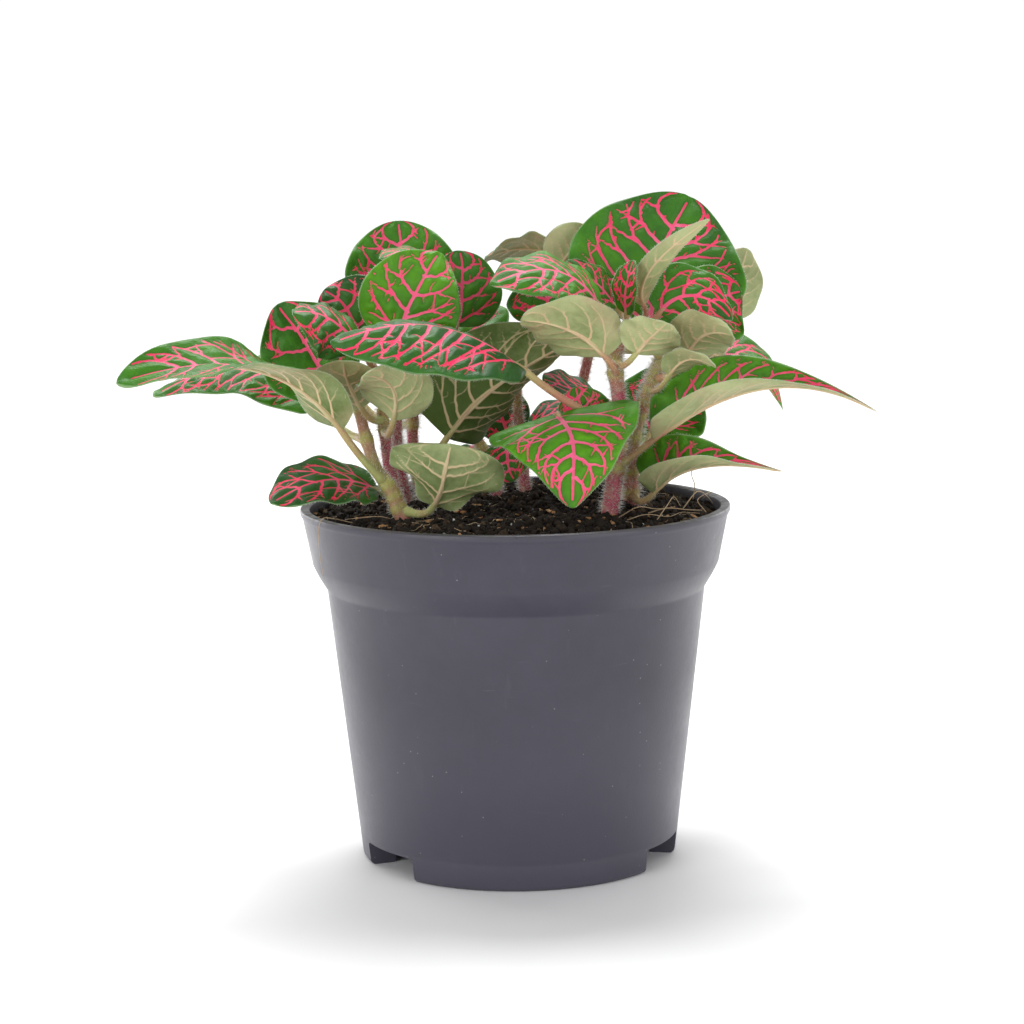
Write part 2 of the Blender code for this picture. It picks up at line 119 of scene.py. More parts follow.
def placeLights():
    for name, place, size, watts, colour in softboxes:
        data = bpy.data.lights.new(name, "AREA")
        data.size = size
        data.energy = watts
        data.color = colour
        item = bpy.data.objects.new(name, data)
        scene.collection.objects.link(item)
        aim = (Vector(cameraSetup["aim"]) - Vector(place)).to_track_quat("-Z", "Y")
        item.matrix_world = Matrix.Translation(place) @ aim.to_matrix().to_4x4()
    data = bpy.data.lights.new("skylight", "SUN")
    data.energy = skylight["strength"]
    data.angle = math.radians(skylight["spread"])
    item = bpy.data.objects.new("skylight", data)
    scene.collection.objects.link(item)
    item.matrix_world = Vector(skylight["from"]).to_track_quat("Z", "Y").to_matrix().to_4x4()
    world = bpy.data.worlds.new("studio")
    world.use_nodes = True
    tree = world.node_tree
    rays = addNode(tree, "ShaderNodeLightPath").outputs
    strength = remap(tree, rays["Is Glossy Ray"], 0.0, 1.0, backdrop["ambient"], backdrop["mirrored"])
    extra = remap(tree, rays["Is Camera Ray"], 0.0, 1.0, 0.0, backdrop["seen"] - backdrop["ambient"])
    strength = mathNode(tree, "ADD", strength, extra)
    tree.links.new(strength, tree.nodes["Background"].inputs["Strength"])
    tree.nodes["Background"].inputs["Color"].default_value = (1.0, 1.0, 1.0, 1.0)
    scene.world = world
    scene.view_settings.view_transform = "Standard"


def placeFloor():
    bm = bmesh.new()
    bmesh.ops.create_grid(bm, x_segments=2, y_segments=2, size=backdrop["size"] / 2)
    mesh = meshFrom(bm, "floor")
    mesh.materials.append(floorPaint())
    item = bpy.data.objects.new("floor", mesh)
    scene.collection.objects.link(item)


def newMaterial(name, roughness, specular=0.5):
    material = bpy.data.materials.new(name)
    material.use_nodes = True
    shader = material.node_tree.nodes["Principled BSDF"]
    shader.inputs["Roughness"].default_value = roughness
    shader.inputs["Specular IOR Level"].default_value = specular
    return material, material.node_tree, shader


def addNode(tree, kind, inputs=None, **settings):
    node = tree.nodes.new(kind)
    for key, value in settings.items():
        setattr(node, key, value)
    for key, value in (inputs or {}).items():
        if isinstance(value, bpy.types.NodeSocket):
            tree.links.new(value, node.inputs[key])
        else:
            node.inputs[key].default_value = value
    return node


def mathNode(tree, operation, a, b=0.0, clamp=False):
    return addNode(tree, "ShaderNodeMath", {0: a, 1: b}, operation=operation, use_clamp=clamp).outputs[0]


def mixColour(tree, share, first, second):  # colours are sockets, or red, green and blue
    pair = [value if isinstance(value, bpy.types.NodeSocket) else (*value, 1.0) for value in (first, second)]
    return addNode(tree, "ShaderNodeMix", {0: share, 6: pair[0], 7: pair[1]}, data_type="RGBA").outputs[2]


def remap(tree, value, low, high, toLow=0.0, toHigh=1.0, smooth=False):
    node = addNode(tree, "ShaderNodeMapRange", {0: value, 1: low, 2: high, 3: toLow, 4: toHigh}, clamp=True)
    node.interpolation_type = "SMOOTHSTEP" if smooth else "LINEAR"
    return node.outputs[0]


def objectCoords(tree):
    return tree.nodes.new("ShaderNodeTexCoord").outputs["Object"]


def attribute(tree, name):
    return addNode(tree, "ShaderNodeAttribute", attribute_name=name).outputs["Fac"]


def noiseAt(tree, scale, detail=2.0, vector=None, roughness=0.5):
    place = vector or objectCoords(tree)
    inputs = {"Vector": place, "Scale": scale, "Detail": detail, "Roughness": roughness}
    return addNode(tree, "ShaderNodeTexNoise", inputs).outputs[0]


def bumpInto(tree, shader, height, distance, strength):
    node = addNode(tree, "ShaderNodeBump", {"Height": height, "Distance": distance, "Strength": strength})
    tree.links.new(node.outputs[0], shader.inputs["Normal"])


def centred(tree, value, strength):  # swings a 0 to 1 value round nought
    return mathNode(tree, "MULTIPLY", mathNode(tree, "SUBTRACT", value, 0.5), strength)


def grainBump(tree, shader, scale, distance, strength):  # fine cells in relief
    cells = addNode(tree, "ShaderNodeTexVoronoi", {"Vector": objectCoords(tree), "Scale": scale})
    bumpInto(tree, shader, cells.outputs["Distance"], distance, strength)


def paint(tree, shader, colour):
    tree.links.new(colour, shader.inputs["Base Color"])


def newGroup(name, sockets, outputs):
    group = bpy.data.node_groups.new(name, "ShaderNodeTree")
    for label, value in sockets:
        item = group.interface.new_socket(label, in_out="INPUT", socket_type="NodeSocketFloat")
        item.default_value = value
    for label in outputs:
        group.interface.new_socket(label, in_out="OUTPUT", socket_type="NodeSocketFloat")
    start = group.nodes.new("NodeGroupInput")
    end = group.nodes.new("NodeGroupOutput")
    return group, start, end


def buildMottleGroup():  # soft blotches with finer ones in them, 0 to 1
    group, start, end = newGroup("mottle", (("Scale", 60.0), ("Fine", 300.0)), ("Value",))
    coords = objectCoords(group)
    broad = addNode(group, "ShaderNodeTexNoise", {"Vector": coords, "Scale": start.outputs[0], "Detail": 2.0})
    fine = addNode(group, "ShaderNodeTexNoise", {"Vector": coords, "Scale": start.outputs[1], "Detail": 3.0})
    total = mathNode(group, "ADD", mathNode(group, "MULTIPLY", broad.outputs[0], 0.65),
                     mathNode(group, "MULTIPLY", fine.outputs[0], 0.35))
    group.links.new(remap(group, total, 0.3, 0.7), end.inputs[0])
    return group


def buildSpeckGroup():  # scattered small grains: a mask that is 1 inside a grain
    group, start, end = newGroup("specks", (("Scale", 400.0), ("Size", 0.2), ("Share", 0.2)), ("Mask",))
    coords = objectCoords(group)
    cells = addNode(group, "ShaderNodeTexVoronoi", {"Vector": coords, "Scale": start.outputs[0]})
    inside = mathNode(group, "LESS_THAN", cells.outputs["Distance"], start.outputs[1])
    pick = addNode(group, "ShaderNodeSeparateColor", {0: cells.outputs["Color"]}).outputs[0]
    chosen = mathNode(group, "LESS_THAN", pick, start.outputs[2])
    group.links.new(mathNode(group, "MULTIPLY", inside, chosen), end.inputs[0])
    return group


mottleGroup = buildMottleGroup()
speckGroup = buildSpeckGroup()


def mottle(tree, scale, fine):
    node = addNode(tree, "ShaderNodeGroup", node_tree=mottleGroup)
    node.inputs["Scale"].default_value = scale
    node.inputs["Fine"].default_value = fine
    return node.outputs[0]


def specks(tree, scale, size, share):
    node = addNode(tree, "ShaderNodeGroup", node_tree=speckGroup)
    node.inputs["Scale"].default_value = scale
    node.inputs["Size"].default_value = size
    node.inputs["Share"].default_value = share
    return node.outputs[0]


def floorPaint():
    material, tree, shader = newMaterial("paleFloor", 0.8, 0.2)
    # painted shade: the floor is darker near the pot and white far away
    distance = addNode(tree, "ShaderNodeVectorMath", {0: objectCoords(tree)}, operation="LENGTH")
    tone = remap(tree, distance.outputs["Value"], 0.15, 1.2, backdrop["nearShadeTone"], backdrop["farTone"])
    tone = mathNode(tree, "SUBTRACT", tone, mathNode(tree, "MULTIPLY", mottle(tree, 3.0, 30.0), 0.01))
    tree.links.new(tone, shader.inputs["Base Color"])
    return material


leafFinish = {
    "shadeGreen": (0.012, 0.075, 0.009), "midGreen": (0.05, 0.21, 0.008), "brightGreen": (0.125, 0.39, 0.006),
    "thickVein": (1.0, 0.155, 0.320), "thinVein": (0.92, 0.026, 0.115), "paleVein": (0.95, 0.25, 0.36),
    "margin": (0.26, 0.38, 0.18), "underPale": (0.40, 0.44, 0.215), "underDeep": (0.085, 0.140, 0.030),
    "underVein": (0.66, 0.52, 0.30), "underNet": (0.56, 0.46, 0.27), "underBlush": (0.56, 0.32, 0.24),
    "veinBlush": (0.66, 0.34, 0.26), "underMargin": (0.46, 0.52, 0.36),
    "topGrain": (2400.0, 0.00016, 0.55), "underGrain": (2000.0, 0.00012, 0.5),  # cells, depth, strength
}


def leafTopPaint():
    ink = leafFinish
    material, tree, shader = newMaterial("leafTop", 0.42, 0.26)
    wander = centred(tree, noiseAt(tree, 900.0, 3.0), 0.32)
    veinGap = mathNode(tree, "ADD", attribute(tree, "vein"), wander)
    veinMask = remap(tree, veinGap, -0.10, 0.06, 1.0, 0.0, True)
    # the tone is partly painted shade and light, so whole leaves are painted darker or brighter
    tone = mathNode(tree, "ADD", attribute(tree, "tone"), centred(tree, mottle(tree, 90.0, 420.0), 0.40))
    dark = mixColour(tree, remap(tree, tone, 0.0, 0.5), ink["shadeGreen"], ink["midGreen"])
    green = mixColour(tree, remap(tree, tone, 0.5, 1.0), dark, ink["brightGreen"])
    halo = remap(tree, attribute(tree, "vein"), 0.0, 0.7, 0.35, 0.0)  # darker beside the veins
    green = mixColour(tree, halo, green, ink["shadeGreen"])
    rim = remap(tree, attribute(tree, "rim"), 0.93, 1.0, 0.0, 0.75, True)
    green = mixColour(tree, rim, green, ink["margin"])
    # a low tone also darkens the veins, so a leaf's painted shade reaches its pinks
    pinkness = mathNode(tree, "ADD", remap(tree, attribute(tree, "girth"), 0.15, 0.62, 0.0, 0.85),
                        remap(tree, attribute(tree, "tone"), 0.1, 0.7, -0.25, 0.25), True)
    pink = mixColour(tree, pinkness, ink["thinVein"], ink["thickVein"])
    pink = mixColour(tree, remap(tree, mottle(tree, 160.0, 900.0), 0.5, 1.0, 0.0, 0.5), pink, ink["paleVein"])
    fade = remap(tree, attribute(tree, "rim"), 0.86, 0.97, 1.0, 0.15)  # the veins die out before the margin
    paint(tree, shader, mixColour(tree, mathNode(tree, "MULTIPLY", veinMask, fade), green, pink))
    tree.links.new(remap(tree, mottle(tree, 200.0, 1200.0), 0.0, 1.0, 0.36, 0.54), shader.inputs["Roughness"])
    grainBump(tree, shader, *ink["topGrain"])
    return material


def leafUnderPaint():
    ink = leafFinish
    material, tree, shader = newMaterial("leafUnder", 0.55, 0.22)
    wander = centred(tree, noiseAt(tree, 700.0, 2.0), 0.3)
    ribGap = mathNode(tree, "ADD", attribute(tree, "mainVein"), wander)
    ribMask = remap(tree, ribGap, -0.34, 0.0, 0.95, 0.0, True)
    netGap = mathNode(tree, "ADD", attribute(tree, "vein"), wander)
    netMask = remap(tree, netGap, -0.25, 0.05, 0.65, 0.0, True)
    # the tone is partly painted shade and light here too, darkening or brightening whole undersides
    tone = mathNode(tree, "ADD", attribute(tree, "tone"), centred(tree, mottle(tree, 110.0, 700.0), 0.35))
    pale = mixColour(tree, remap(tree, tone, 0.08, 0.8), ink["underDeep"], ink["underPale"])
    clouds = remap(tree, noiseAt(tree, 90.0, 3.0), 0.45, 0.75)
    blush = mathNode(tree, "MULTIPLY", clouds, attribute(tree, "blush"))
    pale = mixColour(tree, blush, pale, ink["underBlush"])
    pale = mixColour(tree, netMask, pale, ink["underNet"])
    ribBlush = mathNode(tree, "MULTIPLY", attribute(tree, "blush"), 0.7)
    rib = mixColour(tree, ribBlush, ink["underVein"], ink["veinBlush"])
    rim = remap(tree, attribute(tree, "rim"), 0.94, 1.0, 0.0, 0.6, True)
    pale = mixColour(tree, rim, pale, ink["underMargin"])
    paint(tree, shader, mixColour(tree, ribMask, pale, rib))
    grainBump(tree, shader, *ink["underGrain"])
    return material


shootFinish = {
    "green": (0.36, 0.35, 0.12), "red": (0.42, 0.085, 0.125), "tan": (0.50, 0.36, 0.25),
    "knot": (0.42, 0.44, 0.12), "stalkGreen": (0.44, 0.46, 0.17), "stalkBlush": (0.50, 0.22, 0.15),
    "ribPale": (0.60, 0.52, 0.30), "ribWarm": (0.58, 0.40, 0.25), "hairDull": (0.80, 0.78, 0.70),
    "hairWhite": (0.92, 0.92, 0.88),
}


def shootPaint():
    ink = shootFinish
    material, tree, shader = newMaterial("shoot", 0.5, 0.3)
    clouds = mathNode(tree, "MULTIPLY", noiseAt(tree, 110.0, 4.0), 0.9)
    patch = mathNode(tree, "ADD", clouds, attribute(tree, "blush"))
    base = mixColour(tree, remap(tree, patch, 0.60, 1.15), ink["green"], ink["red"])
    light = mixColour(tree, remap(tree, noiseAt(tree, 520.0, 3.0), 0.45, 0.75, 0.0, 0.7), base, ink["tan"])
    paint(tree, shader, mixColour(tree, attribute(tree, "knot"), light, ink["knot"]))
    upright = addNode(tree, "ShaderNodeMapping", {"Vector": objectCoords(tree), "Scale": (1.0, 1.0, 0.12)})
    bumpInto(tree, shader, noiseAt(tree, 1500.0, 3.0, upright.outputs[0]), 0.00025, 0.6)
    return material


def stalkPaint():
    ink = shootFinish
    material, tree, shader = newMaterial("leafStalk", 0.5, 0.3)
    blush = mathNode(tree, "MULTIPLY", attribute(tree, "blush"), 0.4)
    patch = mathNode(tree, "ADD", noiseAt(tree, 90.0, 3.0), blush)
    green = mixColour(tree, remap(tree, patch, 0.45, 0.8), ink["stalkGreen"], ink["stalkBlush"])
    rib = mixColour(tree, remap(tree, noiseAt(tree, 200.0, 2.0), 0.3, 0.7), ink["ribPale"], ink["ribWarm"])
    paint(tree, shader, mixColour(tree, attribute(tree, "along"), green, rib))
    bumpInto(tree, shader, noiseAt(tree, 1400.0, 3.0), 0.0002, 0.6)
    return material


def twoTonePaint(name, roughness, specular, scale, detail, first, second):  # a soft drift between two colours
    material, tree, shader = newMaterial(name, roughness, specular)
    paint(tree, shader, mixColour(tree, noiseAt(tree, scale, detail), first, second))
    return material


soilFinish = {
    "peatDark": (0.005, 0.004, 0.0035), "peatBrown": (0.022, 0.016, 0.011), "speck": (0.30, 0.24, 0.18),
    "crumbBrown": (0.024, 0.017, 0.011), "crumbTan": (0.16, 0.10, 0.055), "crumbGrain": (0.02, 0.013, 0.009),
    "chipRed": (0.50, 0.20, 0.06), "chipTan": (0.68, 0.48, 0.27), "chipFibre": (0.28, 0.12, 0.04),
    "gritGrey": (0.62, 0.60, 0.55), "gritWhite": (0.85, 0.84, 0.80), "rootBrown": (0.30, 0.17, 0.08),
    "rootTan": (0.62, 0.50, 0.34),
}


def peatPaint():
    ink = soilFinish
    material, tree, shader = newMaterial("peat", 0.92, 0.25)
    base = mixColour(tree, mottle(tree, 220.0, 1400.0), ink["peatDark"], ink["peatBrown"])
    paint(tree, shader, mixColour(tree, specks(tree, 620.0, 0.22, 0.05), base, ink["speck"]))
    bumpInto(tree, shader, noiseAt(tree, 1600.0, 4.0), 0.0006, 0.8)
    return material


def crumbPaint():
    ink = soilFinish
    material, tree, shader = newMaterial("peatCrumb", 0.9, 0.25)
    shade = attribute(tree, "shade")
    dark = mixColour(tree, remap(tree, shade, 0.0, 0.7), ink["peatDark"], ink["crumbBrown"])
    tone = mixColour(tree, remap(tree, shade, 0.88, 1.0), dark, ink["crumbTan"])
    grain = remap(tree, noiseAt(tree, 1200.0, 3.0), 0.35, 0.7)
    paint(tree, shader, mixColour(tree, grain, tone, ink["crumbGrain"]))
    bumpInto(tree, shader, noiseAt(tree, 2600.0, 3.0), 0.0003, 0.8)
    return material


def chipPaint():
    ink = soilFinish
    material, tree, shader = newMaterial("barkChip", 0.75, 0.3)
    tone = mixColour(tree, attribute(tree, "shade"), ink["chipRed"], ink["chipTan"])
    fibre = addNode(tree, "ShaderNodeMapping", {"Vector": objectCoords(tree), "Scale": (1.0, 0.25, 1.0)})
    streak = remap(tree, noiseAt(tree, 1500.0, 3.0, fibre.outputs[0]), 0.35, 0.7)
    paint(tree, shader, mixColour(tree, streak, tone, ink["chipFibre"]))
    bumpInto(tree, shader, streak, 0.0002, 0.7)
    return material


potFinish = {
    # the low colour is painted light: the lower wall is made lighter to stand in for light that it does not
    # get
    "body": (0.030, 0.0275, 0.044), "light": (0.042, 0.039, 0.059), "low": (0.074, 0.070, 0.098),
    "scuff": (0.085, 0.085, 0.105), "lipDust": (0.045, 0.046, 0.040), "soilSmear": (0.03, 0.02, 0.015),
    "dust": (0.30, 0.29, 0.27), "lowFrom": 0.055, "lipFrom": 0.0978, "lipTo": 0.099,  # heights in metres
}


def potPaint():
    ink = potFinish
    material, tree, shader = newMaterial("potPlastic", 0.42, 0.5)
    coords = objectCoords(tree)
    body = mixColour(tree, mottle(tree, 25.0, 180.0), ink["body"], ink["light"])
    tall = addNode(tree, "ShaderNodeMapping", {"Vector": coords, "Scale": (1.0, 1.0, 0.18)})
    rubs = remap(tree, noiseAt(tree, 260.0, 5.0, tall.outputs[0], 0.65), 0.62, 0.80, 0.0, 0.35)
    body = mixColour(tree, rubs, body, ink["scuff"])
    slanted = {"Vector": coords, "Rotation": (0.5, 0.3, 0.0), "Scale": (1.0, 1.0, 14.0)}
    scratchLine = addNode(tree, "ShaderNodeMapping", slanted).outputs[0]
    scratch = remap(tree, noiseAt(tree, 70.0, 3.0, scratchLine), 0.71, 0.74, 0.0, 0.25)
    body = mixColour(tree, scratch, body, ink["scuff"])
    height = addNode(tree, "ShaderNodeSeparateXYZ", {0: coords}).outputs[2]
    # painted light: lighter towards the bottom, in place of light that the shaded floor beside the pot does
    # not give
    body = mixColour(tree, remap(tree, height, ink["lowFrom"], 0.0, 0.0, 0.8), body, ink["low"])
    lip = remap(tree, height, ink["lipFrom"], ink["lipTo"])
    dusty = mathNode(tree, "MULTIPLY", lip, remap(tree, noiseAt(tree, 330.0, 4.0), 0.42, 0.62, 0.1, 0.6))
    body = mixColour(tree, dusty, body, ink["lipDust"])
    smear = mathNode(tree, "MULTIPLY", lip, specks(tree, 900.0, 0.28, 0.20))
    body = mixColour(tree, smear, body, ink["soilSmear"])
    dust = mathNode(tree, "MULTIPLY", specks(tree, 520.0, 0.09, 0.10), 0.6)
    paint(tree, shader, mixColour(tree, dust, body, ink["dust"]))
    rough = mathNode(tree, "ADD", remap(tree, mottle(tree, 60.0, 500.0), 0.0, 1.0, 0.30, 0.42),
                     mathNode(tree, "MULTIPLY", rubs, 0.5))
    rough = mathNode(tree, "ADD", rough, mathNode(tree, "MULTIPLY", dusty, 0.3), True)
    tree.links.new(rough, shader.inputs["Roughness"])
    bumpInto(tree, shader, noiseAt(tree, 1800.0, 3.0), 0.00006, 0.5)
    return material


potShape = {
    "height": 99.0, "rimRadius": 60.0, "bandRadius": 56.8, "bandBottom": 83.5, "shoulderRadius": 52.9,
    "shoulderBottom": 76.4, "baseRadius": 44.3, "wall": 1.3, "lip": 2.6, "foot": 7.0, "footWidth": 7.0,
    "discRadius": 20.0, "drainAngles": (-54.5, 65.5, 185.5), "drainSpan": 28.5, "drainHeight": 6.7,
    "holeRadius": 3.2, "holeRing": 33.0, "steps": 192, "seamHeight": 7.6, "seamDepth": 0.10,
    "softening": 0.45, "lipFlare": 0.6, "recessBevel": 1.2,
}


def wallRadius(height):  # outer radius of the wall, without the lip
    pot = potShape
    if height >= pot["bandBottom"]:
        share = (height - pot["bandBottom"]) / (pot["height"] - pot["bandBottom"])
        return pot["bandRadius"] + share * (pot["rimRadius"] - pot["lipFlare"] - pot["bandRadius"])
    if height >= pot["shoulderBottom"]:
        share = (height - pot["shoulderBottom"]) / (pot["bandBottom"] - pot["shoulderBottom"])
        rise = 0.75 * share + 0.25 * math.sin(share * math.pi / 2)
        return pot["shoulderRadius"] + rise * (pot["bandRadius"] - pot["shoulderRadius"])
    return pot["baseRadius"] + height / pot["shoulderBottom"] * (pot["shoulderRadius"] - pot["baseRadius"])


def shoulderLevels():
    low, high = potShape["shoulderBottom"], potShape["bandBottom"]
    return [low + (high - low) * step / 8 for step in range(9)]


def potOutline():  # from the middle of the floor up the inside, over the lip and down the outside to the axis
    pot = potShape
    floor = pot["foot"] + pot["wall"]
    rim, top, base = pot["rimRadius"], pot["height"], pot["baseRadius"]
    inside = [(wallRadius(z) - pot["wall"], z) for z in [floor, 30.0, 55.0] + shoulderLevels()]
    lip = [(rim - pot["lip"], top - 1.6), (rim - pot["lip"], top), (rim, top), (rim, top - 1.5),
           (rim - 0.65, top - 2.5)]
    seam = pot["seamHeight"]
    below = [(wallRadius(z), z) for z in (55.0, 30.0)]
    groove = [(wallRadius(seam + 0.5), seam + 0.5), (wallRadius(seam) - pot["seamDepth"], seam),
              (wallRadius(seam - 0.5), seam - 0.5)]
    outside = [(wallRadius(z), z) for z in reversed(shoulderLevels())] + below + groove
    ring = [(base + 0.1, 0.9), (base - 0.8, 0.0), (base - pot["footWidth"], 0.0),
            (base - pot["footWidth"] - 1.0, pot["foot"]), (pot["discRadius"] + 1.0, pot["foot"]),
            (pot["discRadius"], 0.0), (0.0, 0.0)]
    return [(0.0, floor)] + inside + lip + outside + ring


def outlineWire(outline):  # edges through radii and heights in mm
    bm = bmesh.new()
    points = [bm.verts.new((radius * mm, 0.0, height * mm)) for radius, height in outline]
    for start, end in zip(points, points[1:]):
        bm.edges.new((start, end))
    return bm, points


def spinWire(bm, steps, mergeGap):  # once round the pot's axis
    bmesh.ops.spin(bm, geom=bm.verts[:] + bm.edges[:], axis=(0.0, 0.0, 1.0), cent=(0.0, 0.0, 0.0),
                   steps=steps, angle=math.tau, use_merge=True)
    bmesh.ops.remove_doubles(bm, verts=bm.verts[:], dist=mergeGap * mm)


def spunSolid(outline, steps, softening):  # an outline with softened corners, turned round the pot's axis
    bm, points = outlineWire(outline)
    corners = [b for a, b, c in zip(points, points[1:], points[2:])
               if (b.co - a.co).angle(c.co - b.co) > math.radians(25.0)]
    bmesh.ops.bevel(bm, geom=corners, offset=softening * mm, offset_type="OFFSET", segments=4, profile=0.5,
                    affect="VERTICES", material=-1)
    spinWire(bm, steps, 0.005)
    bmesh.ops.recalc_face_normals(bm, faces=bm.faces[:])
    return bm


def drainRecess(degrees):  # a slice of a ring with softened upright edges
    pot = potShape
    bm = bmesh.new()
    bmesh.ops.create_cube(bm, size=1.0)
    for vert in bm.verts:
        radius = pot["baseRadius"] + 6.0 if vert.co.y < 0 else pot["baseRadius"] - pot["footWidth"] - 3.0
        angle = math.radians(degrees + math.copysign(pot["drainSpan"] / 2, vert.co.x))
        height = pot["drainHeight"] if vert.co.z > 0 else -2.0
        vert.co = Vector((radius * math.sin(angle), -radius * math.cos(angle), height)) * mm
    upper = [edge for edge in bm.edges if min(vert.co.z for vert in edge.verts) > 0.0]
    sides = [edge for edge in upper
             if abs(edge.verts[0].co.xy.length - edge.verts[1].co.xy.length) > 1.0 * mm]
    bmesh.ops.bevel(bm, geom=sides, offset=pot["recessBevel"] * mm, offset_type="OFFSET", segments=4,
                    profile=0.5, affect="EDGES", material=-1)
    return meshFrom(bm, "drainRecess")


def drainHole(degrees):
    pot = potShape
    angle = math.radians(degrees)
    place = Matrix.Translation(Vector((math.sin(angle), -math.cos(angle), 0.0)) * pot["holeRing"] * mm)
    bm = bmesh.new()
    bmesh.ops.create_cone(bm, cap_ends=True, segments=40, radius1=pot["holeRadius"] * mm,
                          radius2=pot["holeRadius"] * mm, depth=4.0 * pot["foot"] * mm, matrix=place)
    return meshFrom(bm, "drainHole")


def carve(mesh, cutterMeshes):  # the mesh with every cutter taken away
    item = bpy.data.objects.new("carved", mesh)
    scene.collection.objects.link(item)
    cutters = []
    for cutterMesh in cutterMeshes:
        cutter = bpy.data.objects.new("cutter", cutterMesh)
        scene.collection.objects.link(cutter)
        cutters.append(cutter)
        step = item.modifiers.new("cut", "BOOLEAN")
        step.operation = "DIFFERENCE"
        step.solver = "EXACT"
        step.object = cutter
    depsgraph = bpy.context.evaluated_depsgraph_get()
    result = bpy.data.meshes.new_from_object(item.evaluated_get(depsgraph))
    for leftover in cutters + [item]:
        bpy.data.objects.remove(leftover)
    return result


def makePot():
    body = meshFrom(spunSolid(potOutline(), potShape["steps"], potShape["softening"]), "pot")
    angles = potShape["drainAngles"]
    pot = carve(body, [drainRecess(angle) for angle in angles] + [drainHole(angle) for angle in angles])
    pot.name = "potShell"
    addPiece("potShell", pot, [potPaint()], ["pot"])
    pot.set_sharp_from_angle(angle=math.radians(40.0))
    print("pot made")


soilShape = {
    "edge": 96.6, "mound": 4.5, "moundCentre": (24.0, 26.0), "moundSpread": 26.0, "gap": 0.3, "rings": 70,
    "steps": 220, "rise": 1.4, "riseReach": 56.0, "settled": 0.9, "lumps": 1.1, "wallGap": (57.0, 3.0),
    "lumpLayers": ((3.0, 0.11, 1.1), (9.0, 0.32, 0.7), (17.0, 1.1, 0.35)),  # depth, fineness, height
    "reach": 56.6, "chips": 110, "chipLength": (1.2, 3.4, 1.6), "chipBevel": 0.11, "chipWarp": 0.22,
    "threads": 80, "threadReach": 54.0, "threadSteps": 11,
    "crumbs": {"count": 7600, "size": (0.22, 1.5, 3.0), "seed": 5, "sink": 0.3, "flatten": 0.5, "rough": 0.6},
    "grit": {"count": 230, "size": (0.16, 0.5, 1.6), "seed": 12, "sink": 0.6, "flatten": 0.7, "rough": 0.2},
}


def soilRise(x, y):  # height of the mound above the soil's edge, in mm
    dx, dy = x - soilShape["moundCentre"][0], y - soilShape["moundCentre"][1]
    edge = max(0.0, 1.0 - (math.hypot(x, y) / soilShape["riseReach"]) ** 4)
    mound = soilShape["mound"] * math.exp(-(dx * dx + dy * dy) / soilShape["moundSpread"] ** 2)
    return mound * edge + soilShape["rise"] * edge


def soilLumps(x, y):
    lumps = sum(noise.noise(Vector((x, y, depth)) * fineness) * height
                for depth, fineness, height in soilShape["lumpLayers"])
    wall, fade = soilShape["wallGap"]
    edge = min(1.0, max(0.0, (wall - math.hypot(x, y)) / fade))  # flatter beside the wall
    return lumps * soilShape["lumps"] * (0.35 + 0.65 * edge)


def soilHeight(x, y):
    return soilShape["edge"] - soilShape["settled"] + soilRise(x, y) + soilLumps(x, y)


def makeSoilBed():
    floor = potShape["foot"] + potShape["wall"] + soilShape["gap"]
    reach = wallRadius(soilShape["edge"]) - potShape["wall"] - soilShape["gap"]
    top = [(reach * step / soilShape["rings"], soilShape["edge"]) for step in range(soilShape["rings"])]
    side = [(wallRadius(z) - potShape["wall"] - soilShape["gap"], z)
            for z in [soilShape["edge"] - 1.0] + shoulderLevels()[::-1] + [floor]]
    bm = outlineWire(top + side + [(0.0, floor)])[0]
    spinWire(bm, soilShape["steps"], 0.002)
    for vert in bm.verts:
        x, y, z = vert.co / mm
        if z > soilShape["edge"] - 0.1:
            vert.co.z = soilHeight(x, y) * mm
    bmesh.ops.recalc_face_normals(bm, faces=bm.faces[:])
    return meshFrom(bm, "soilBed")


def soilSpot(rng, reach=soilShape["reach"]):
    radius = reach * math.sqrt(rng.random())
    angle = rng.random() * math.tau
    return radius * math.cos(angle), radius * math.sin(angle)


def scatter(count, size, seed, sink, flatten, rough):  # grains on the soil, each with its own shade
    rng = random.Random(seed)
    smallest, largest, rarity = size

    def addGrain(bm, shade):
        x, y = soilSpot(rng)
        radius = smallest + (largest - smallest) * rng.random() ** rarity
        turn = Matrix.Rotation(rng.random() * math.tau, 4, Vector((rng.random(), rng.random(), 0.4)))
        stretch = Matrix.Diagonal((1.0, 0.6 + 0.4 * rng.random(), flatten + 0.3 * rng.random(), 1.0))
        place = Matrix.Translation(Vector((x, y, soilHeight(x, y) + radius * sink)) * mm)
        matrix = place @ turn @ stretch
        made = bmesh.ops.create_icosphere(bm, subdivisions=1, radius=radius * mm, matrix=matrix)
        value = rng.random()
        for vert in made["verts"]:
            shift = Vector((rng.random() - 0.5, rng.random() - 0.5, rng.random() - 0.5))
            vert.co += shift * radius * rough * mm
            vert[shade] = value

    return growMany(count, addGrain, "shade")


